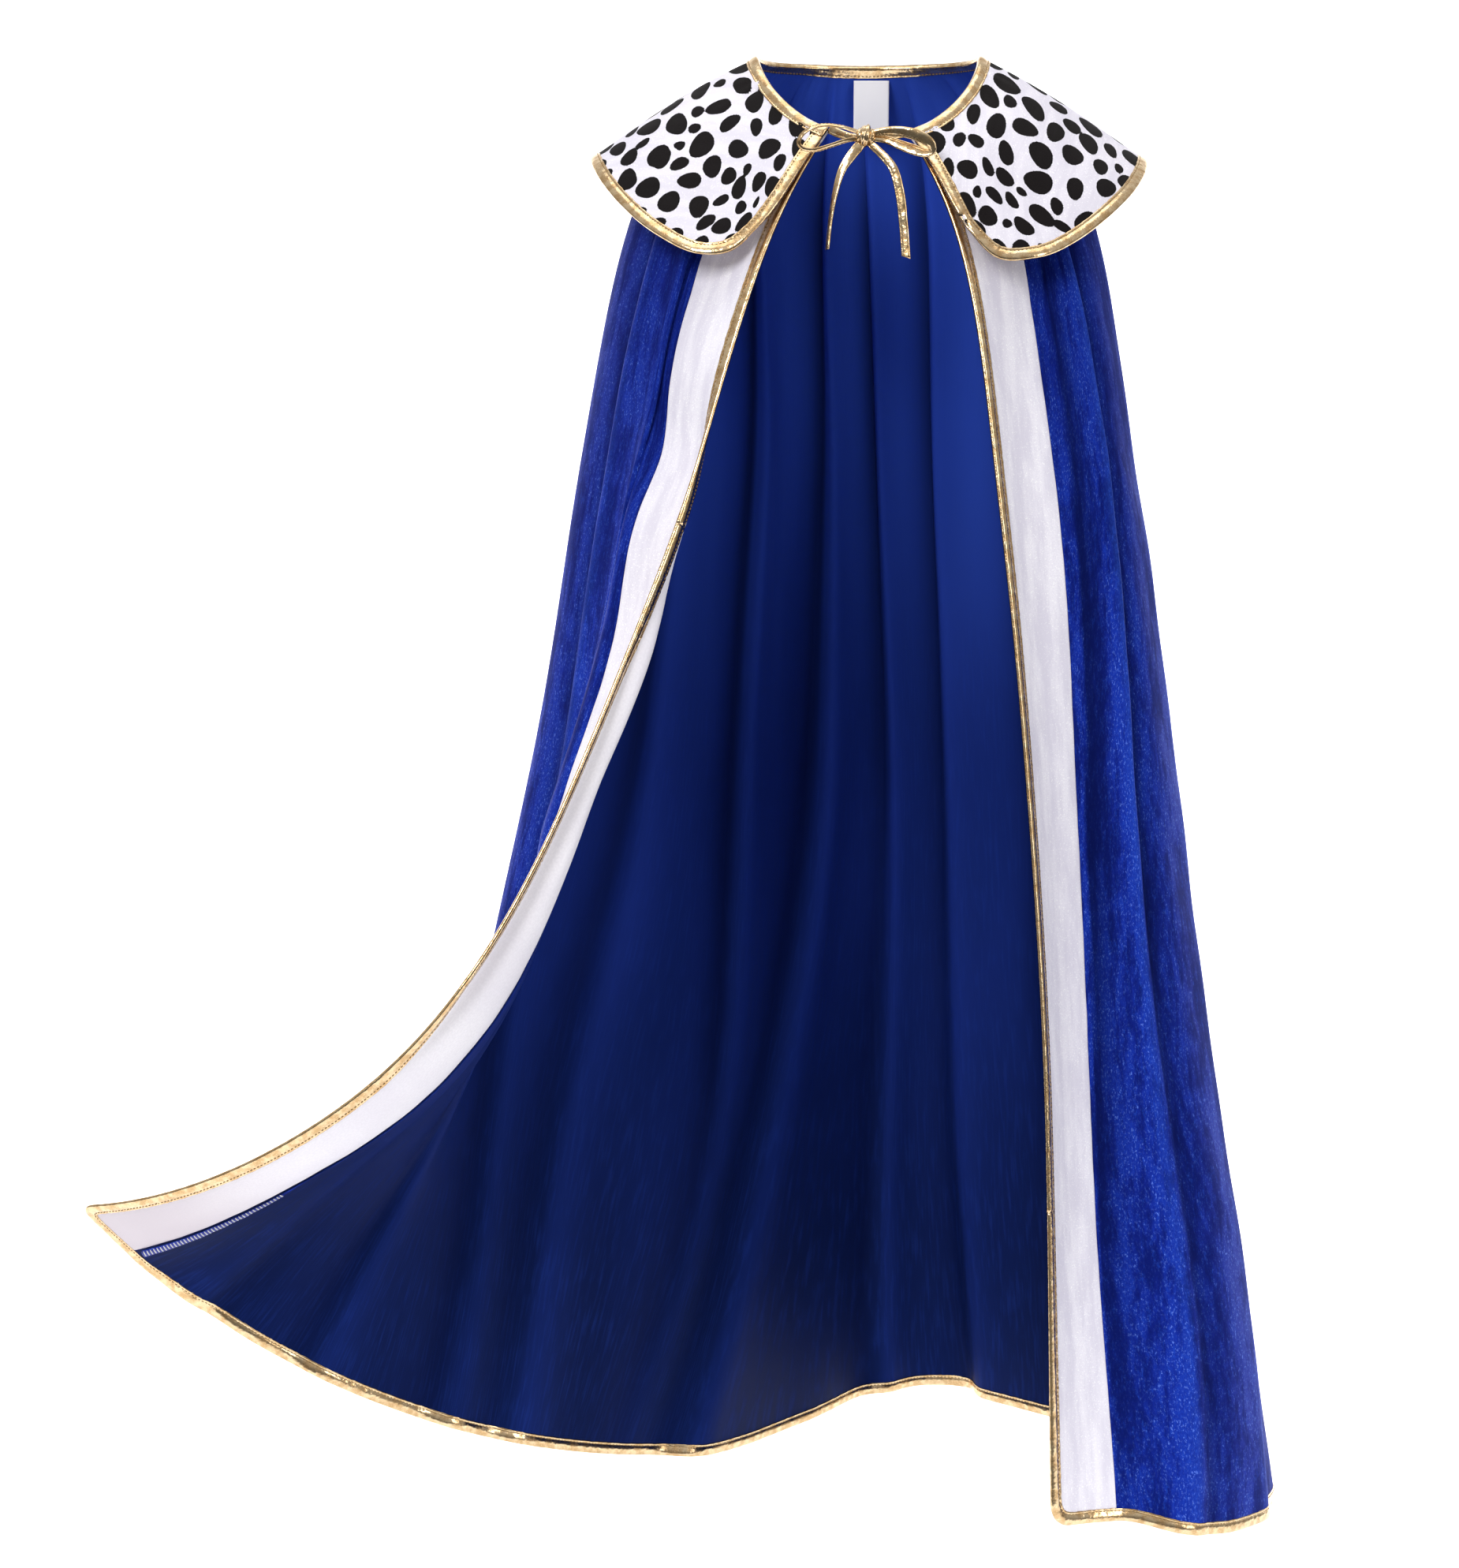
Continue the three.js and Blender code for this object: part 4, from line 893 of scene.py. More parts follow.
COLLAR_FLAT = collar_uv()
collar = wall("collar_cloth", COLLAR, COLLAR_NORMALS, CLOTH / 2, CLOTH / 2, COLLAR_FLAT,
              [SPOTTED, WHITE_REVERSE], {"spot": spot_field(COLLAR_FLAT)})

# Gold tape: it folds over an edge, its height swells between the fold and the stitch line, and its
# stitched side puckers. A section runs from the outer inside line over the edge to the inner one:
# distance in from the edge and height over the cloth's middle surface.
TAPE_SECTION = [
    (8.1, 0.86), (8.18, 1.05), (7.8, 1.3), (7.1, 1.3), (6.5, 1.0), (5.8, 1.3), (4.7, 1.62), (3.1, 1.8),
    (1.5, 1.68), (0.4, 1.34), (-0.3, 0.8), (-0.5, 0), (-0.3, -0.8), (0.4, -1.34), (1.5, -1.68), (3.1, -1.8),
    (4.7, -1.62), (5.8, -1.3), (6.5, -1.0), (7.1, -1.3), (7.8, -1.3), (8.18, -1.05), (8.1, -0.86),
    (0.4, -0.84), (0.4, 0.84),
]
STITCH_LINE = 6.5
STITCH_HEIGHT = 1.0
FOIL_FROM = 0.9
TAPE_STEP = 1.9
MARCH_STEPS = 7
TAPE_PUCKER = {"height": 0.22, "waves": [3.4, 5.6], "slant": 0.9, "middle": 6.1, "width": 2.2,
               "elsewhere": 0.2}
FREE_EDGE = {"from": 7.6, "height": 0.22, "waves": [6.5, 11]}


def tree_of(grid):
    return BVHTree.FromPolygons(grid.reshape(-1, 3).tolist(), grid_faces(*grid.shape[:2]).tolist())


def resampled(points, normals, step):
    run = distances(points)
    at = np.linspace(0, run[-1], max(int(run[-1] / step), 2) + 1)
    places, ups = [np.stack([np.interp(at, run, column) for column in values.T], -1)
                   for values in (points, normals)]
    return places, unit(ups), at


def blurred(values, times):
    out = values.copy()
    for _ in range(times):
        out[1:-1] = (out[:-2] + 2 * out[1:-1] + out[2:]) / 4
    return out


def march_in(tree, edge, normals, inward):
    """Follows the cloth from each edge point inwards; points and normals at equal steps."""
    step = TAPE_WIDTH / MARCH_STEPS
    places, ups = [edge], [normals]
    at, direction, up = edge.copy(), inward.copy(), normals.copy()
    for _ in range(MARCH_STEPS):
        nearest = [tree.find_nearest(Vector(point)) for point in at + direction * step]
        found = np.array([hit[0] for hit in nearest])
        found_up = np.array([hit[1] for hit in nearest])
        found_up *= np.sign((found_up * up).sum(-1, keepdims=True))
        found, found_up = blurred(found, 2), unit(blurred(found_up, 4))
        direction = unit(found - at)
        places.append(found)
        ups.append(found_up)
        at, up = found, found_up
    return np.array(places), np.array(ups)


def tape(name, tree, edge, normals, seed, swell=np.ones_like, extra=None):
    """Tape over an edge polyline; returns its object and the stitch rows on both of its faces.
    swell gives the height by the distance along the tape, and extra is what lies between the cloth and
    the tape on the outer side, in mm, by station."""
    edge, normals, run = resampled(edge, normals, TAPE_STEP)
    edge, normals = blurred(edge, 2), unit(blurred(normals, 2))
    count = len(edge)
    along = unit(blurred(np.gradient(edge, axis=0), 2))
    inward = unit(np.cross(normals, along))
    middle = tree.find_nearest(edge[count // 2] + inward[count // 2] * 4)
    if middle[3] > 2:
        inward = -inward
    places, ups = march_in(tree, edge, normals, inward)
    knots = np.linspace(0, TAPE_WIDTH, MARCH_STEPS + 1)
    if extra is None:
        extra = np.zeros(1)
    extra = np.interp(np.linspace(0, 1, count), np.linspace(0, 1, len(extra)), extra)
    swell = swell(run)
    rings = []
    for distance, height in TAPE_SECTION:
        reach = np.clip(distance, 0, TAPE_WIDTH)
        i = min(int(np.searchsorted(knots, reach, side="right") - 1), MARCH_STEPS - 1)
        f = (reach - knots[i]) / (knots[i + 1] - knots[i])
        point = places[i] * (1 - f) + places[i + 1] * f
        up = unit(ups[i] * (1 - f) + ups[i + 1] * f)
        side = np.sign(height)
        shell = min(CLOTH / 2, abs(height))
        raised = side * (shell + (abs(height) - shell) * swell)
        if abs(height) > FOIL_FROM:
            near_stitch = math.exp(-((distance - TAPE_PUCKER["middle"]) / TAPE_PUCKER["width"]) ** 2)
            waves = ripple(run, seed + (5 if side > 0 else 9), TAPE_PUCKER["waves"],
                           distance * TAPE_PUCKER["slant"])
            raised += side * TAPE_PUCKER["height"] * waves * (TAPE_PUCKER["elsewhere"] + near_stitch) * swell
        if distance > FREE_EDGE["from"]:
            wave = FREE_EDGE["height"] * ripple(run, seed + 17, FREE_EDGE["waves"])
            point = point + inward * wave[:, None]
        if side > 0:
            raised = raised + extra
        point = point + up * raised[:, None]
        if distance < 0:
            point = point + inward * distance
        rings.append(point)
    rings = np.array(rings).transpose(1, 0, 2)
    obj = make_mesh(name, rings.reshape(-1, 3), tube_faces(count, len(TAPE_SECTION)), [GOLD])
    outer_row, inner_row = [TAPE_SECTION.index((STITCH_LINE, h)) for h in (STITCH_HEIGHT, -STITCH_HEIGHT)]
    up = unit(ups[-2])
    return obj, [(rings[:, outer_row], up), (rings[:, inner_row], -up)]


def repeat(name, points, alongs, ups, motif, material):
    """Copies a small motif onto points with Geometry Nodes, and keeps the result as a plain mesh."""
    mesh = bpy.data.meshes.new(name + "_points")
    mesh.from_pydata((np.asarray(points) * MM).tolist(), [], [])
    for key, values in (("along", alongs), ("up", ups)):
        attribute = mesh.attributes.new(key, "FLOAT_VECTOR", "POINT")
        attribute.data.foreach_set("vector", np.asarray(values, np.float32).ravel())
    carrier = bpy.data.objects.new(name + "_points", mesh)
    bpy.context.scene.collection.objects.link(carrier)
    group = bpy.data.node_groups.new(name, "GeometryNodeTree")
    for direction in ("INPUT", "OUTPUT"):
        group.interface.new_socket("Geometry", in_out=direction, socket_type="NodeSocketGeometry")
    new, link = group.nodes.new, group.links.new
    entry, leave = new("NodeGroupInput"), new("NodeGroupOutput")
    copies, realize = new("GeometryNodeInstanceOnPoints"), new("GeometryNodeRealizeInstances")
    paint = new("GeometryNodeSetMaterial")
    source, rotation = new("GeometryNodeObjectInfo"), new("FunctionNodeAxesToRotation")
    rotation.primary_axis, rotation.secondary_axis = "X", "Z"
    source.inputs["Object"].default_value = motif
    paint.inputs["Material"].default_value = material
    for key, socket in (("along", "Primary Axis"), ("up", "Secondary Axis")):
        read = new("GeometryNodeInputNamedAttribute")
        read.data_type = "FLOAT_VECTOR"
        read.inputs["Name"].default_value = key
        link(read.outputs["Attribute"], rotation.inputs[socket])
    link(entry.outputs[0], copies.inputs["Points"])
    link(source.outputs["Geometry"], copies.inputs["Instance"])
    link(rotation.outputs[0], copies.inputs["Rotation"])
    link(copies.outputs[0], realize.inputs[0])
    link(realize.outputs[0], paint.inputs["Geometry"])
    link(paint.outputs[0], leave.inputs[0])
    carrier.modifiers.new("copies", "NODES").node_group = group
    bpy.context.view_layer.update()
    evaluated = carrier.evaluated_get(bpy.context.evaluated_depsgraph_get())
    made = bpy.data.meshes.new_from_object(evaluated)
    made.name = name
    made.polygons.foreach_set("use_smooth", np.ones(len(made.polygons), bool))
    bpy.data.objects.remove(carrier)
    obj = bpy.data.objects.new(name, made)
    bpy.context.scene.collection.objects.link(obj)
    return obj


# A thread's rings from one end to the other: place along it, share of its radius and height in radii
THREAD = [(-0.5, 0.15, -0.5), (-0.42, 0.75, 0.0), (-0.2, 1.0, 0.35), (0.2, 1.0, 0.35), (0.42, 0.75, 0.0),
          (0.5, 0.15, -0.5)]
THREAD_SIDES = 6


def stitch_motif(name, length, radius, arch=0.0):
    """A thread that comes up, lies along X and goes down again."""
    points = []
    for x, scale, height in THREAD:
        lift = height * radius + arch * (1 - (2 * x) ** 2)
        for turn in 2 * math.pi * np.arange(THREAD_SIDES) / THREAD_SIDES:
            y, z = radius * scale * math.cos(turn), radius * scale * math.sin(turn)
            points.append((x * length, y, lift + z))
    obj = make_mesh(name, points, tube_faces(len(THREAD), THREAD_SIDES), [])
    obj.hide_render = True
    return obj


STITCH_PITCH = 2.7
STITCH_LIFT = 0.05


def stitched(name, rows, motif, material, pitch=STITCH_PITCH):
    points, alongs, ups = [], [], []
    for line, up in rows:
        at, normal, _ = resampled(line, up, pitch)
        along = unit(np.gradient(at, axis=0))
        points.append(at[1:-1] + normal[1:-1] * STITCH_LIFT)
        alongs.append(along[1:-1])
        ups.append(normal[1:-1])
    return repeat(name, *map(np.concatenate, (points, alongs, ups)), motif, material)


CAPE_TREE = tree_of(CAPE)
COLLAR_TREE = tree_of(COLLAR)


def row_at(level):
    return int(np.argmin(np.abs(LEVELS - level)))


# The front tapes end at joints, where the hem tape takes over
RIGHT_JOINT, LEFT_JOINT = row_at(0.31), row_at(0.78)
FRONT_START = row_at(0.012)


def flatter_at_neck(run):
    return 0.45 + 0.55 * smoothstep((run - 20) / 45)


def flatter_at_both_ends(run):
    return 0.5 + 0.5 * smoothstep(np.minimum(run, run[-1] - run) / 60)


def flat_all(run):
    return np.full(len(run), 0.75)


def front_tape(name, column, joint, seed):
    rows = slice(FRONT_START, joint + 1)
    return tape(name, CAPE_TREE, CAPE[rows, column], CAPE_NORMALS[rows, column], seed, flatter_at_neck)


def round_edge(grid, right_from, left_from):
    """Down the first column, along the last row and up the last column."""
    last_row = len(grid) - 1
    return np.concatenate([grid[right_from:last_row, 0], grid[last_row, :-1], grid[left_from:, -1][::-1]])


front_right, rows_front_right = front_tape("front_tape_right", 0, RIGHT_JOINT, 101)
front_left, rows_front_left = front_tape("front_tape_left", -1, LEFT_JOINT, 131)
hem, rows_hem = tape("hem_tape", CAPE_TREE, round_edge(CAPE, RIGHT_JOINT, LEFT_JOINT),
                     round_edge(CAPE_NORMALS, RIGHT_JOINT, LEFT_JOINT), 151)
COLLAR_START = int(np.searchsorted(COLLAR_DISTANCES, 8))
collar_tape, rows_collar = tape("collar_tape", COLLAR_TREE, round_edge(COLLAR, COLLAR_START, COLLAR_START),
                                round_edge(COLLAR_NORMALS, COLLAR_START, COLLAR_START), 171,
                                flatter_at_both_ends)
neck, rows_neck = tape("neck_tape", CAPE_TREE, CAPE[0], CAPE_NORMALS[0], 191, flat_all, collar_lift(PLACES))
TAPE_ROWS = rows_front_right + rows_front_left + rows_hem + rows_collar + rows_neck
TAPE_STITCH = stitch_motif("tape_stitch", 1.9, 0.34)
tape_stitches = stitched("tape_stitches", TAPE_ROWS, TAPE_STITCH, GOLD_THREAD)

# Overlocked seam allowances inside, along both bands: a narrow strip with threads across it. On the right
# the strip's width changes by level, and its threads are whole from where the photograph shows them.
ALLOWANCE = {"start": 0.02, "end": 0.988, "levels": [0, 0.62, 0.7, 0.83, 0.87, 1],
             "width": [4.4, 4.4, 1.4, 1.4, 6.4, 6.4], "half_thickness": 0.62, "lift": 0.75,
             "threads_from": 0.862}
STRIP_OFFSETS = np.array([0.2, 1.2, 2.6, 4.2, 5.6, 6.4])
STRIP_WAVE = {"height": 0.35, "waves": [16, 9], "seed": 61, "slant": 3}


def allowance(name, side):
    """side is 1 at the right seam and -1 at the left: the strip lies over the body's reverse."""
    rows = np.flatnonzero((LEVELS > ALLOWANCE["start"]) & (LEVELS < ALLOWANCE["end"]))
    levels = LEVELS[rows]
    seam = 0 if side > 0 else BODY_WIDTH
    share = STRIP_OFFSETS / STRIP_OFFSETS[-1]
    wide = np.ones(len(levels))
    if side > 0:
        wide = np.interp(levels, ALLOWANCE["levels"], ALLOWANCE["width"]) / STRIP_OFFSETS[-1]
    spread = seam + side * STRIP_OFFSETS * wide[:, None]
    grid = np.array([[np.interp(spread[n], PLACES, CAPE[row, :, k]) for k in range(3)]
                     for n, row in enumerate(rows)]).transpose(0, 2, 1)
    column = int(np.argmin(np.abs(PLACES - seam - side * 3)))
    normals = np.broadcast_to(CAPE_NORMALS[rows, column][:, None], grid.shape)
    wave = STRIP_WAVE["height"] * ripple(1000 * levels[:, None], STRIP_WAVE["seed"], STRIP_WAVE["waves"],
                                         STRIP_OFFSETS * STRIP_WAVE["slant"])
    grid = grid - normals * (CLOTH / 2 + ALLOWANCE["lift"] + wave * share)[..., None]
    uv = cloth_uv(np.broadcast_to(seam + side * STRIP_OFFSETS, spread.shape), levels)
    shown = grid if side > 0 else grid[:, ::-1]
    half = ALLOWANCE["half_thickness"]
    strip = wall(name, shown, normals, half, half, uv, [REVERSE, VELVET], {"fold": np.zeros(spread.shape)})
    return strip, grid, normals


right_strip, right_grid, right_normals = allowance("seam_allowance_right", 1)
left_strip, left_grid, left_normals = allowance("seam_allowance_left", -1)
THREADED = int(np.searchsorted(LEVELS[LEVELS > ALLOWANCE["start"]], ALLOWANCE["threads_from"]))
STRIPS = [(right_grid[THREADED:], right_normals[THREADED:]), (left_grid, left_normals)]
OVERLOCK = {"pitch": 2.9, "lift": 0.7, "slant": 0.25}
ACROSS_STITCH = stitch_motif("across_stitch", 6.0, 0.52, arch=0.15)
LOOP_STITCH = stitch_motif("loop_stitch", 2.4, 0.4)


def overlock(name, motif, material, column, offset, crosses):
    """Threads in a row down a column of each strip, across it at a slant or along it."""
    points, alongs, ups = [], [], []
    for grid, normals in STRIPS:
        at, up, _ = resampled(grid[:, column], -normals[:, column], OVERLOCK["pitch"])
        down = unit(np.gradient(at, axis=0))
        across = unit(np.cross(up, down))
        points.append(at + up * OVERLOCK["lift"] + down * offset)
        alongs.append(unit(across + OVERLOCK["slant"] * down) if crosses else down)
        ups.append(up)
    return repeat(name, *map(np.concatenate, (points, alongs, ups)), motif, material)


overlock_white = overlock("overlock_white", ACROSS_STITCH, WHITE_THREAD, 3, 0, True)
overlock_blue = overlock("overlock_blue", ACROSS_STITCH, BLUE_THREAD, 3, OVERLOCK["pitch"] / 2, True)
overlock_edge = overlock("overlock_edge", LOOP_STITCH, BLUE_THREAD, 5, 0.4, False)

# The bow: each strand is a folded tape. A point gives its place, the tape's width there and its twist,
# which turns its broad face from the front (0) towards edge on (90).
STRANDS = {
    "tie_link_right": [
        (-28.4, -65.6, -37.6, 6.4, 20), (-22, -69.6, -41.5, 6, 20), (-11.6, -74.8, -45.4, 5, 10),
        (-6, -76.5, -46, 4, 0),
    ],
    "tie_link_left": [
        (24.6, -66.4, -40, 6.4, 20), (15, -70, -43, 6, 20), (2.8, -74.8, -45.8, 5, 10),
        (-3, -76.5, -46, 4, 0),
    ],
    "bow_loop_right": [
        (-8, -80, -43, 3.4, 20), (-13, -81.3, -41.4, 3.4, 30), (-21, -84.5, -39.5, 3.2, 40),
        (-32, -86, -38.6, 3.2, 42), (-41, -85.5, -40.4, 3.2, 40), (-47.4, -84, -44.8, 3, 30),
        (-49.6, -83, -49.9, 2.8, 20), (-46.7, -81.5, -53.4, 2.8, 20), (-39.4, -80, -54.3, 3, 30),
        (-29.3, -79, -51.6, 3.2, 38), (-18.4, -78.6, -47.9, 3.2, 30), (-9, -78.4, -46, 3, 10),
    ],
    "bow_loop_left": [
        (-1, -80, -43, 4, 5), (9.4, -83, -42.3, 6.2, 14), (22.1, -87, -43.6, 7.4, 18),
        (32.7, -88.5, -47.2, 7.8, 16), (39, -88, -52, 6.6, 20), (39.8, -86.5, -56.2, 5, 24),
        (34.8, -84.5, -57, 6.4, 18), (27.4, -83, -54.6, 7.6, 12), (18.4, -81, -51, 6.8, 10),
        (9.4, -79.2, -47.4, 5.4, 8), (-1, -78.5, -46, 4, 0),
    ],
    "tie_tail_right": [
        (-6.4, -79, -48, 4, 0), (-8.1, -80.2, -50.5, 6.6, 0), (-13.8, -81, -57.6, 7, 5),
        (-20.5, -81.5, -68, 5.8, 20), (-25.2, -81, -84, 4.6, 38), (-28.3, -80.2, -102, 3.6, 45),
        (-30.2, -80, -121, 3.1, 45),
    ],
    "tie_tail_left": [
        (-2.6, -79, -48, 4, 0), (-0.9, -80.2, -50.5, 5, 10), (5.6, -82.4, -57, 5.6, 15),
        (13.5, -84.5, -67, 6.2, 12), (18.2, -85, -84, 6.4, 10), (20.6, -84.6, -104, 6.3, 14),
        (22.4, -84.4, -127, 6.2, 16),
    ],
}
STRAND_THICKNESS = {"tie_link_right": 1.9, "tie_link_left": 1.9, "bow_loop_right": 1.25, "bow_loop_left": 1.9,
                    "tie_tail_right": 1.5, "tie_tail_left": 1.6}
END_SLANT = {"tie_tail_right": 0.4, "tie_tail_left": -1.4}
STRAND_SECTION = [
    (1, 0.0), (0.97, 0.55), (0.82, 0.9), (0.66, 0.7), (0.5, 0.95), (0.15, 1.08), (-0.3, 1.1), (-0.7, 0.98),
    (-0.94, 0.6), (-1, 0.0), (-0.94, -0.6), (-0.7, -0.98), (-0.3, -1.1), (0.15, -1.08), (0.5, -0.95),
    (0.66, -0.7), (0.82, -0.9), (0.97, -0.55),
]
STRAND_STITCH = (0.66, 0.7)
STRAND_STEP = 0.9
STRAND_SEED = 300
STRAND_CRUMPLE = {"height": 0.022, "waves": [6.4, 13], "slant": 4, "from": 0.5}


def curve_through(points, count):
    """A smooth curve through points, with whatever else each of them gives."""
    steps = np.sqrt(np.linalg.norm(np.diff(points[:, :3], axis=0), axis=1))
    run = np.concatenate([[0], np.cumsum(steps)])
    at = np.linspace(0, run[-1], count)
    return np.stack([smooth(run, column, at) for column in points.T], -1)


def strand(name, seed):
    points = np.array(STRANDS[name], float)
    length = distances(points[:, :3])[-1]
    count = int(length / STRAND_STEP)
    curve = curve_through(points, count)
    middle, width, twist = curve[:, :3], curve[:, 3], np.radians(curve[:, 4:])
    along = unit(np.gradient(middle, axis=0))
    front = unit(np.array([0, -1.0, 0]) + along * along[:, 1:2])
    across = unit(np.cross(along, front))
    face = front * np.cos(twist) + across * np.sin(twist)
    wide = across * np.cos(twist) - front * np.sin(twist)
    run = np.linspace(0, length, count)
    rings = []
    for k, (x, y) in enumerate(STRAND_SECTION):
        height = np.full(count, y * STRAND_THICKNESS[name] / 2)
        if abs(y) > STRAND_CRUMPLE["from"]:
            waves = ripple(run, seed + k % 9, STRAND_CRUMPLE["waves"], x * STRAND_CRUMPLE["slant"])
            height += STRAND_CRUMPLE["height"] * width / 2 * waves
        ring = middle + wide * (x * width / 2)[:, None] + face * height[:, None]
        ring[-1] += along[-1] * x * END_SLANT.get(name, 0)
        rings.append(ring)
    rings = np.array(rings).transpose(1, 0, 2)
    faces = tube_faces(count, len(STRAND_SECTION), flipped=True)
    obj = make_mesh(name + "_tape", rings.reshape(-1, 3), faces, [GOLD])
    return obj, middle, (rings[:, STRAND_SECTION.index(STRAND_STITCH)], face)


strands = {name: strand(name, STRAND_SEED + 10 * k) for k, name in enumerate(STRANDS)}
BOW_ROWS = [row for name, (_, _, row) in strands.items() if "tail" not in name]
BOW_STITCH = stitch_motif("bow_stitch", 1.7, 0.16)
strand_stitches = stitched("bow_stitches", BOW_ROWS, BOW_STITCH, GOLD_THREAD, pitch=2.4)

# The knot: a puckered tape wound once round the strands, with a second wrap showing above it. Its pleats
# and wrap are shares of its radius.
KNOT = {"centre": (-4.4, -79, -45), "radius": (6.56, 6.6, 7.2), "tilt": -14, "rows": 40, "columns": 56}


def knot_mesh():
    latitude = np.linspace(-math.pi / 2, math.pi / 2, KNOT["rows"])[:, None]
    around = np.linspace(0, 2 * math.pi, KNOT["columns"], endpoint=False)[None, :]
    ring = np.cos(latitude) ** 0.55
    y, z = ring * np.cos(around), ring * np.sin(around)
    x = np.broadcast_to(np.sign(np.sin(latitude)) * np.abs(np.sin(latitude)) ** 0.8, y.shape)
    pleats = 0.085 * np.sin(x * 11 + 1.6 * np.sin(around + 0.6)) + 0.035 * np.sin(x * 25 + 2 * around)
    wrap = 0.16 * np.exp(-((x + 0.45 - 0.25 * np.sin(around)) / 0.3) ** 2)
    waist = 0.82 + 0.18 * np.cos(2.2 * x) ** 2
    full = (1 + pleats + wrap) * waist
    points = np.stack([x, y * full, z * full], -1) * KNOT["radius"]
    cos, sin = math.cos(math.radians(KNOT["tilt"])), math.sin(math.radians(KNOT["tilt"]))
    turned = points @ np.array([[cos, 0, sin], [0, 1, 0], [-sin, 0, cos]]) + KNOT["centre"]
    faces = tube_faces(KNOT["rows"], KNOT["columns"], capped=False)
    return make_mesh("bow_knot_tape", turned.reshape(-1, 3), faces, [GOLD])


knot = knot_mesh()

# The size label: a ribbon folded in two, hanging inside the back neck and slightly curled
LABEL = {"width": 25, "height": 38, "half_thickness": 0.28, "lean": 14, "sideways": 4.7, "behind": 4.4,
         "below": 8.2, "rows": 34, "columns": 18}


def label_mesh():
    lean = math.radians(LABEL["lean"])
    down = np.array([0, math.sin(lean), -math.cos(lean)])
    front = np.array([0, -math.cos(lean), -math.sin(lean)])
    top = neck_ring(90.0)
    start = np.array([LABEL["sideways"], top[1] + LABEL["behind"], top[2] - LABEL["below"]])
    v = np.linspace(0, 1, LABEL["rows"])[:, None]
    u = np.linspace(-0.5, 0.5, LABEL["columns"])[None, :]
    curl = 1.6 * (u * 2) ** 2 * v - 1.1 * v ** 2 + 0.35 * np.sin(4 * u + 2.5 * v)
    uv = np.stack(np.broadcast_arrays(u * LABEL["width"], -v * LABEL["height"]), -1)
    middle = start + np.array([1.0, 0, 0]) * uv[..., :1] - down * uv[..., 1:] + front * curl[..., None]
    normals = grid_normals(middle)
    normals *= np.sign((normals * front).sum(-1, keepdims=True))
    half = LABEL["half_thickness"]
    return wall("label_ribbon", middle, normals, half, half, uv.reshape(-1, 2), [LABEL_SATIN, LABEL_SATIN])


label = label_mesh()

# Which solid each piece stands for, what it rides on and what its finish is called
REPLACED = [
    (body, "blue_velvet", "cape_body"),
    (band_right, "white_velour", "band_right"),
    (band_left, "white_velour", "band_left"),
    (collar, "spotted_velour", "collar"),
    (neck, "gold_tape", "binding_neck"),
    (collar_tape, "gold_tape", "binding_collar"),
    (front_right, "gold_tape", "binding_front_right"),
    (front_left, "gold_tape", "binding_front_left"),
    (hem, "gold_tape", "binding_hem"),
    (knot, "gold_tape", "bow_knot"),
    (label, "label_satin", "label_neck"),
] + [(strands[name][0], "gold_tape", name) for name in STRANDS]
ADDED = [
    (tape_stitches, "gold_tape"),
    (strand_stitches, "gold_tape"),
    (right_strip, "white_velour"),
    (left_strip, "white_velour"),
    (overlock_white, "white_velour"),
    (overlock_blue, "blue_velvet"),
    (overlock_edge, "blue_velvet"),
]
for piece, finish, node in REPLACED:
    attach(piece, "root")
    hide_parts(node)
for piece, finish in ADDED:
    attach(piece, "root")
for motif in (TAPE_STITCH, ACROSS_STITCH, LOOP_STITCH, BOW_STITCH):
    bpy.data.objects.remove(motif)


for name in ("tie_tail_right", "tie_tail_left"):
    piece, route, _ = strands[name]

# A pale floor that curves up into a backdrop; sizes in metres
BACKDROP = {"width": 10.0, "near": -0.9, "far": 4.2, "height": 6.5, "bend": 1.4, "bend_steps": 14}


def backdrop():
    far, bend = BACKDROP["far"], BACKDROP["bend"]
    profile = [(BACKDROP["near"], FLOOR), (far - bend, FLOOR)]
    for turn in np.linspace(0.1, math.pi / 2, BACKDROP["bend_steps"]):
        profile.append((far - bend + bend * math.sin(turn), FLOOR + bend - bend * math.cos(turn)))
    profile.append((far, BACKDROP["height"]))
    half = BACKDROP["width"] / 2
    points = np.array([(x, y, z) for y, z in profile for x in (-half, half)]) / MM
    faces = [(2 * k, 2 * k + 1, 2 * k + 3, 2 * k + 2) for k in range(len(profile) - 1)]
    p = Paint("backdrop_paper", Roughness=0.9, Specular_IOR_Level=0.1, Emission_Color="#ffffff",
              Emission_Strength=0.4)
    fibre = p.noise(p.space(250), 3)
    return make_mesh("backdrop", points, faces, [p.finish(Base_Color=p.mix(fibre, "#f4f4f4", "#fbfbfb"))])


backdrop()

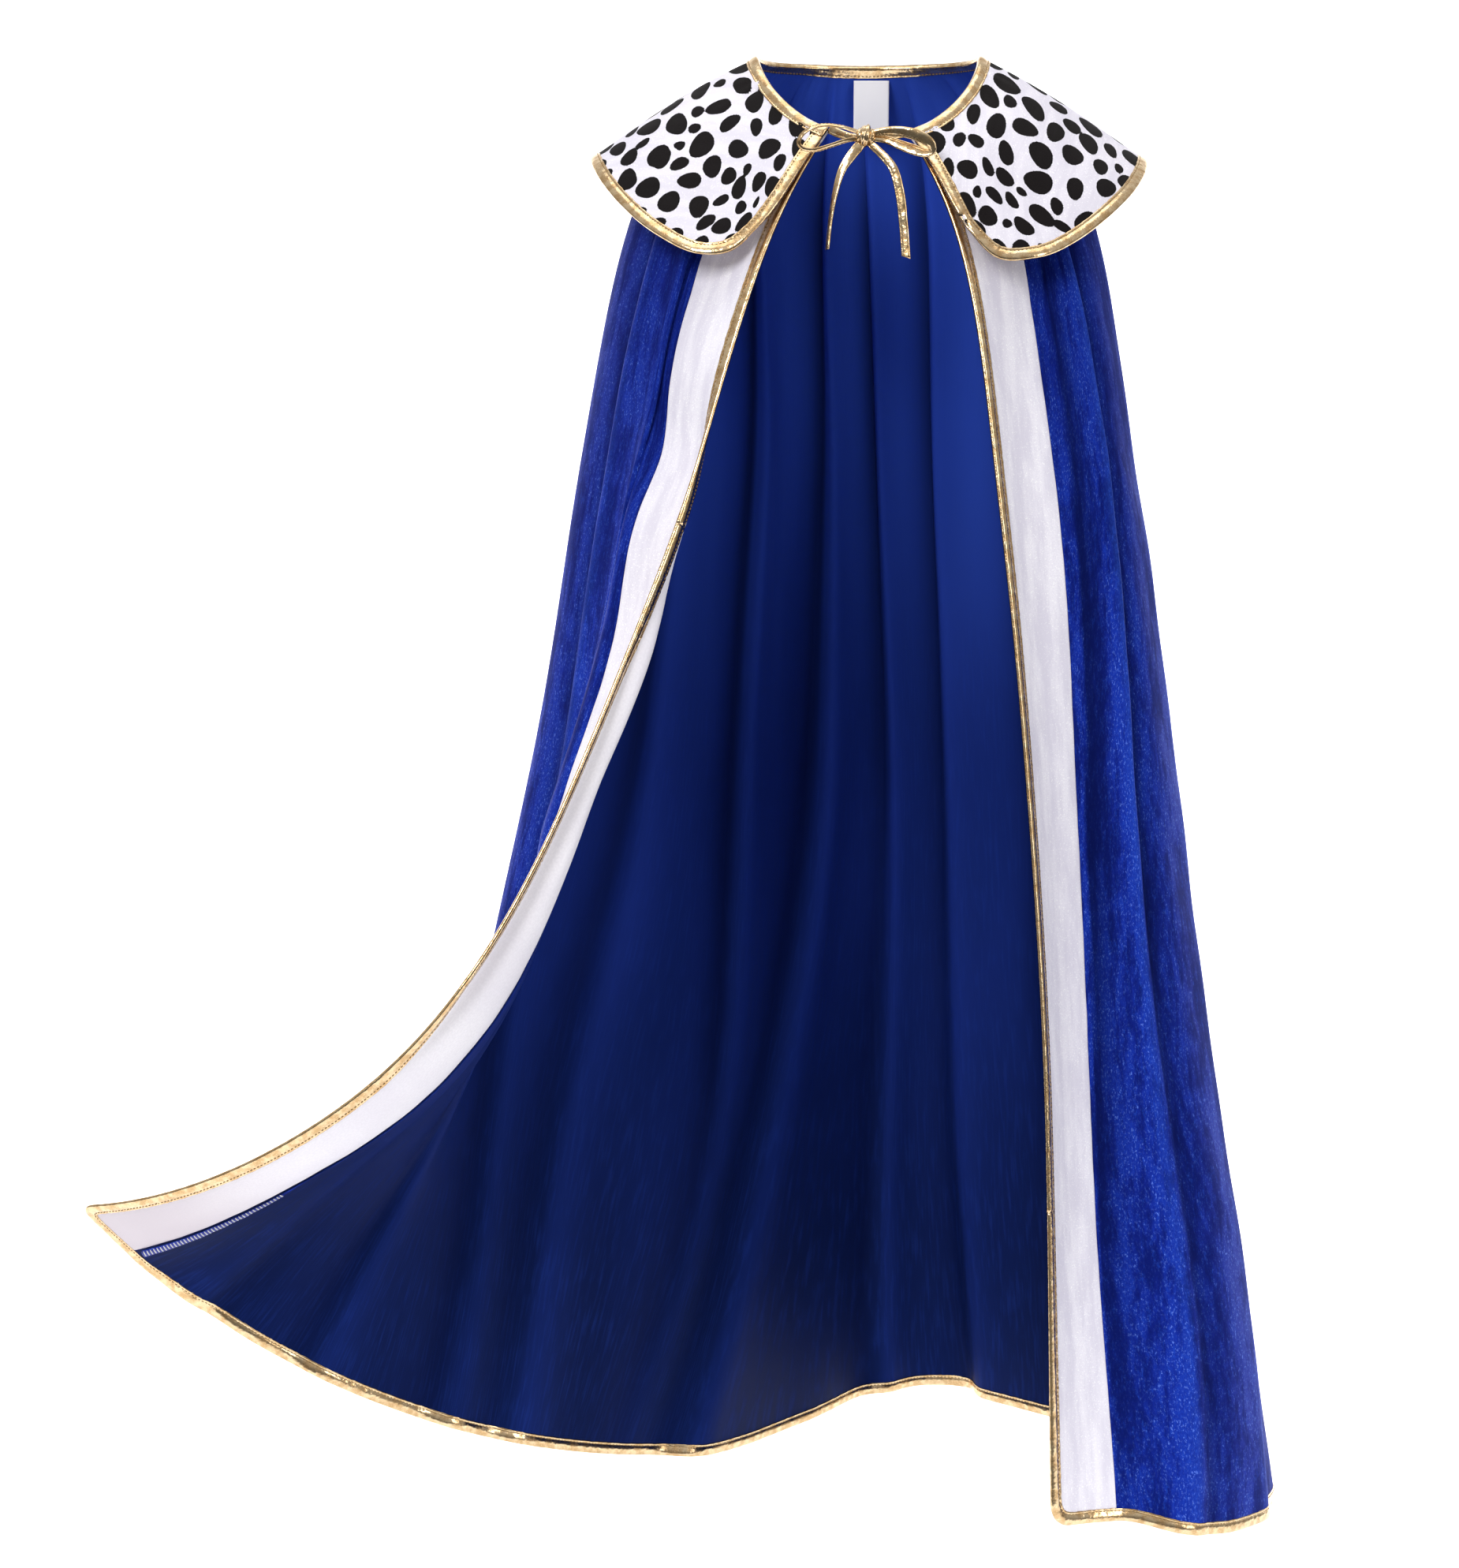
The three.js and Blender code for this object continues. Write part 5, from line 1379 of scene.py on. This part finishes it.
# Lights: place, what each is aimed at, width and height in metres, and power in watts
LIGHTS = {
    "key": ((-1.5, -3.0, 1.3), (0, 0, -0.4), (1.1, 1.6), 82),
    "fill": ((2.4, -2.4, 0.3), (0, 0, -0.5), (0.8, 2.2), 22),
    "top": ((0, -0.3, 2.4), (0, 0, 0), (2.6, 2.0), 26),
    "backdrop_left": ((-2.6, 2.0, 0.6), (-1.4, 4.2, -0.4), (1.2, 2.6), 100),
    "backdrop_right": ((2.6, 2.0, 0.6), (1.4, 4.2, -0.4), (1.2, 2.6), 100),
}
for name, (place, aim, size, power) in LIGHTS.items():
    data = bpy.data.lights.new(name, "AREA")
    data.shape = "RECTANGLE"
    data.size, data.size_y = size
    data.energy = power
    lamp = bpy.data.objects.new(name, data)
    lamp.location = place
    lamp.rotation_euler = (Vector(aim) - Vector(place)).to_track_quat("-Z", "Y").to_euler()
    bpy.context.scene.collection.objects.link(lamp)

# The room's light: brighter above, dimmer below the object, so that the foil has contrast. Each row is a
# height, from 0 straight below to 1 straight above, and the light's strength there.
WORLD = [(0, 0.16), (0.42, 0.16), (0.6, 0.42), (1, 0.7)]


def studio_world():
    world = bpy.data.worlds.new("studio")
    world.use_nodes = True
    tree = world.node_tree
    direction, split = tree.nodes.new("ShaderNodeTexCoord"), tree.nodes.new("ShaderNodeSeparateXYZ")
    height, strength = tree.nodes.new("ShaderNodeMath"), tree.nodes.new("ShaderNodeFloatCurve")
    background = tree.nodes["Background"]
    curve = strength.mapping.curves[0]
    for point, ends in zip(curve.points, (WORLD[0], WORLD[-1])):
        point.location = ends
    for row in WORLD[1:-1]:
        curve.points.new(*row)
    strength.mapping.update()
    height.operation = "MULTIPLY_ADD"
    height.inputs[1].default_value = 0.5
    height.inputs[2].default_value = 0.5
    tree.links.new(direction.outputs["Generated"], split.inputs[0])
    tree.links.new(split.outputs["Z"], height.inputs[0])
    tree.links.new(height.outputs[0], strength.inputs["Value"])
    tree.links.new(strength.outputs[0], background.inputs["Strength"])
    background.inputs["Color"].default_value = (1, 1, 1, 1)
    return world


bpy.context.scene.world = studio_world()
bpy.context.scene.view_settings.view_transform = "Standard"

camera_data = bpy.data.cameras.new("camera")
camera_data.lens = CAMERA["lens"]
camera_data.sensor_width = CAMERA["sensor"]
camera_data.clip_end = CAMERA["sees_to"]
camera = bpy.data.objects.new("camera", camera_data)
camera.location = CAMERA["place"]
camera.rotation_euler = (math.pi / 2, 0, 0)
bpy.context.scene.collection.objects.link(camera)
bpy.context.scene.camera = camera
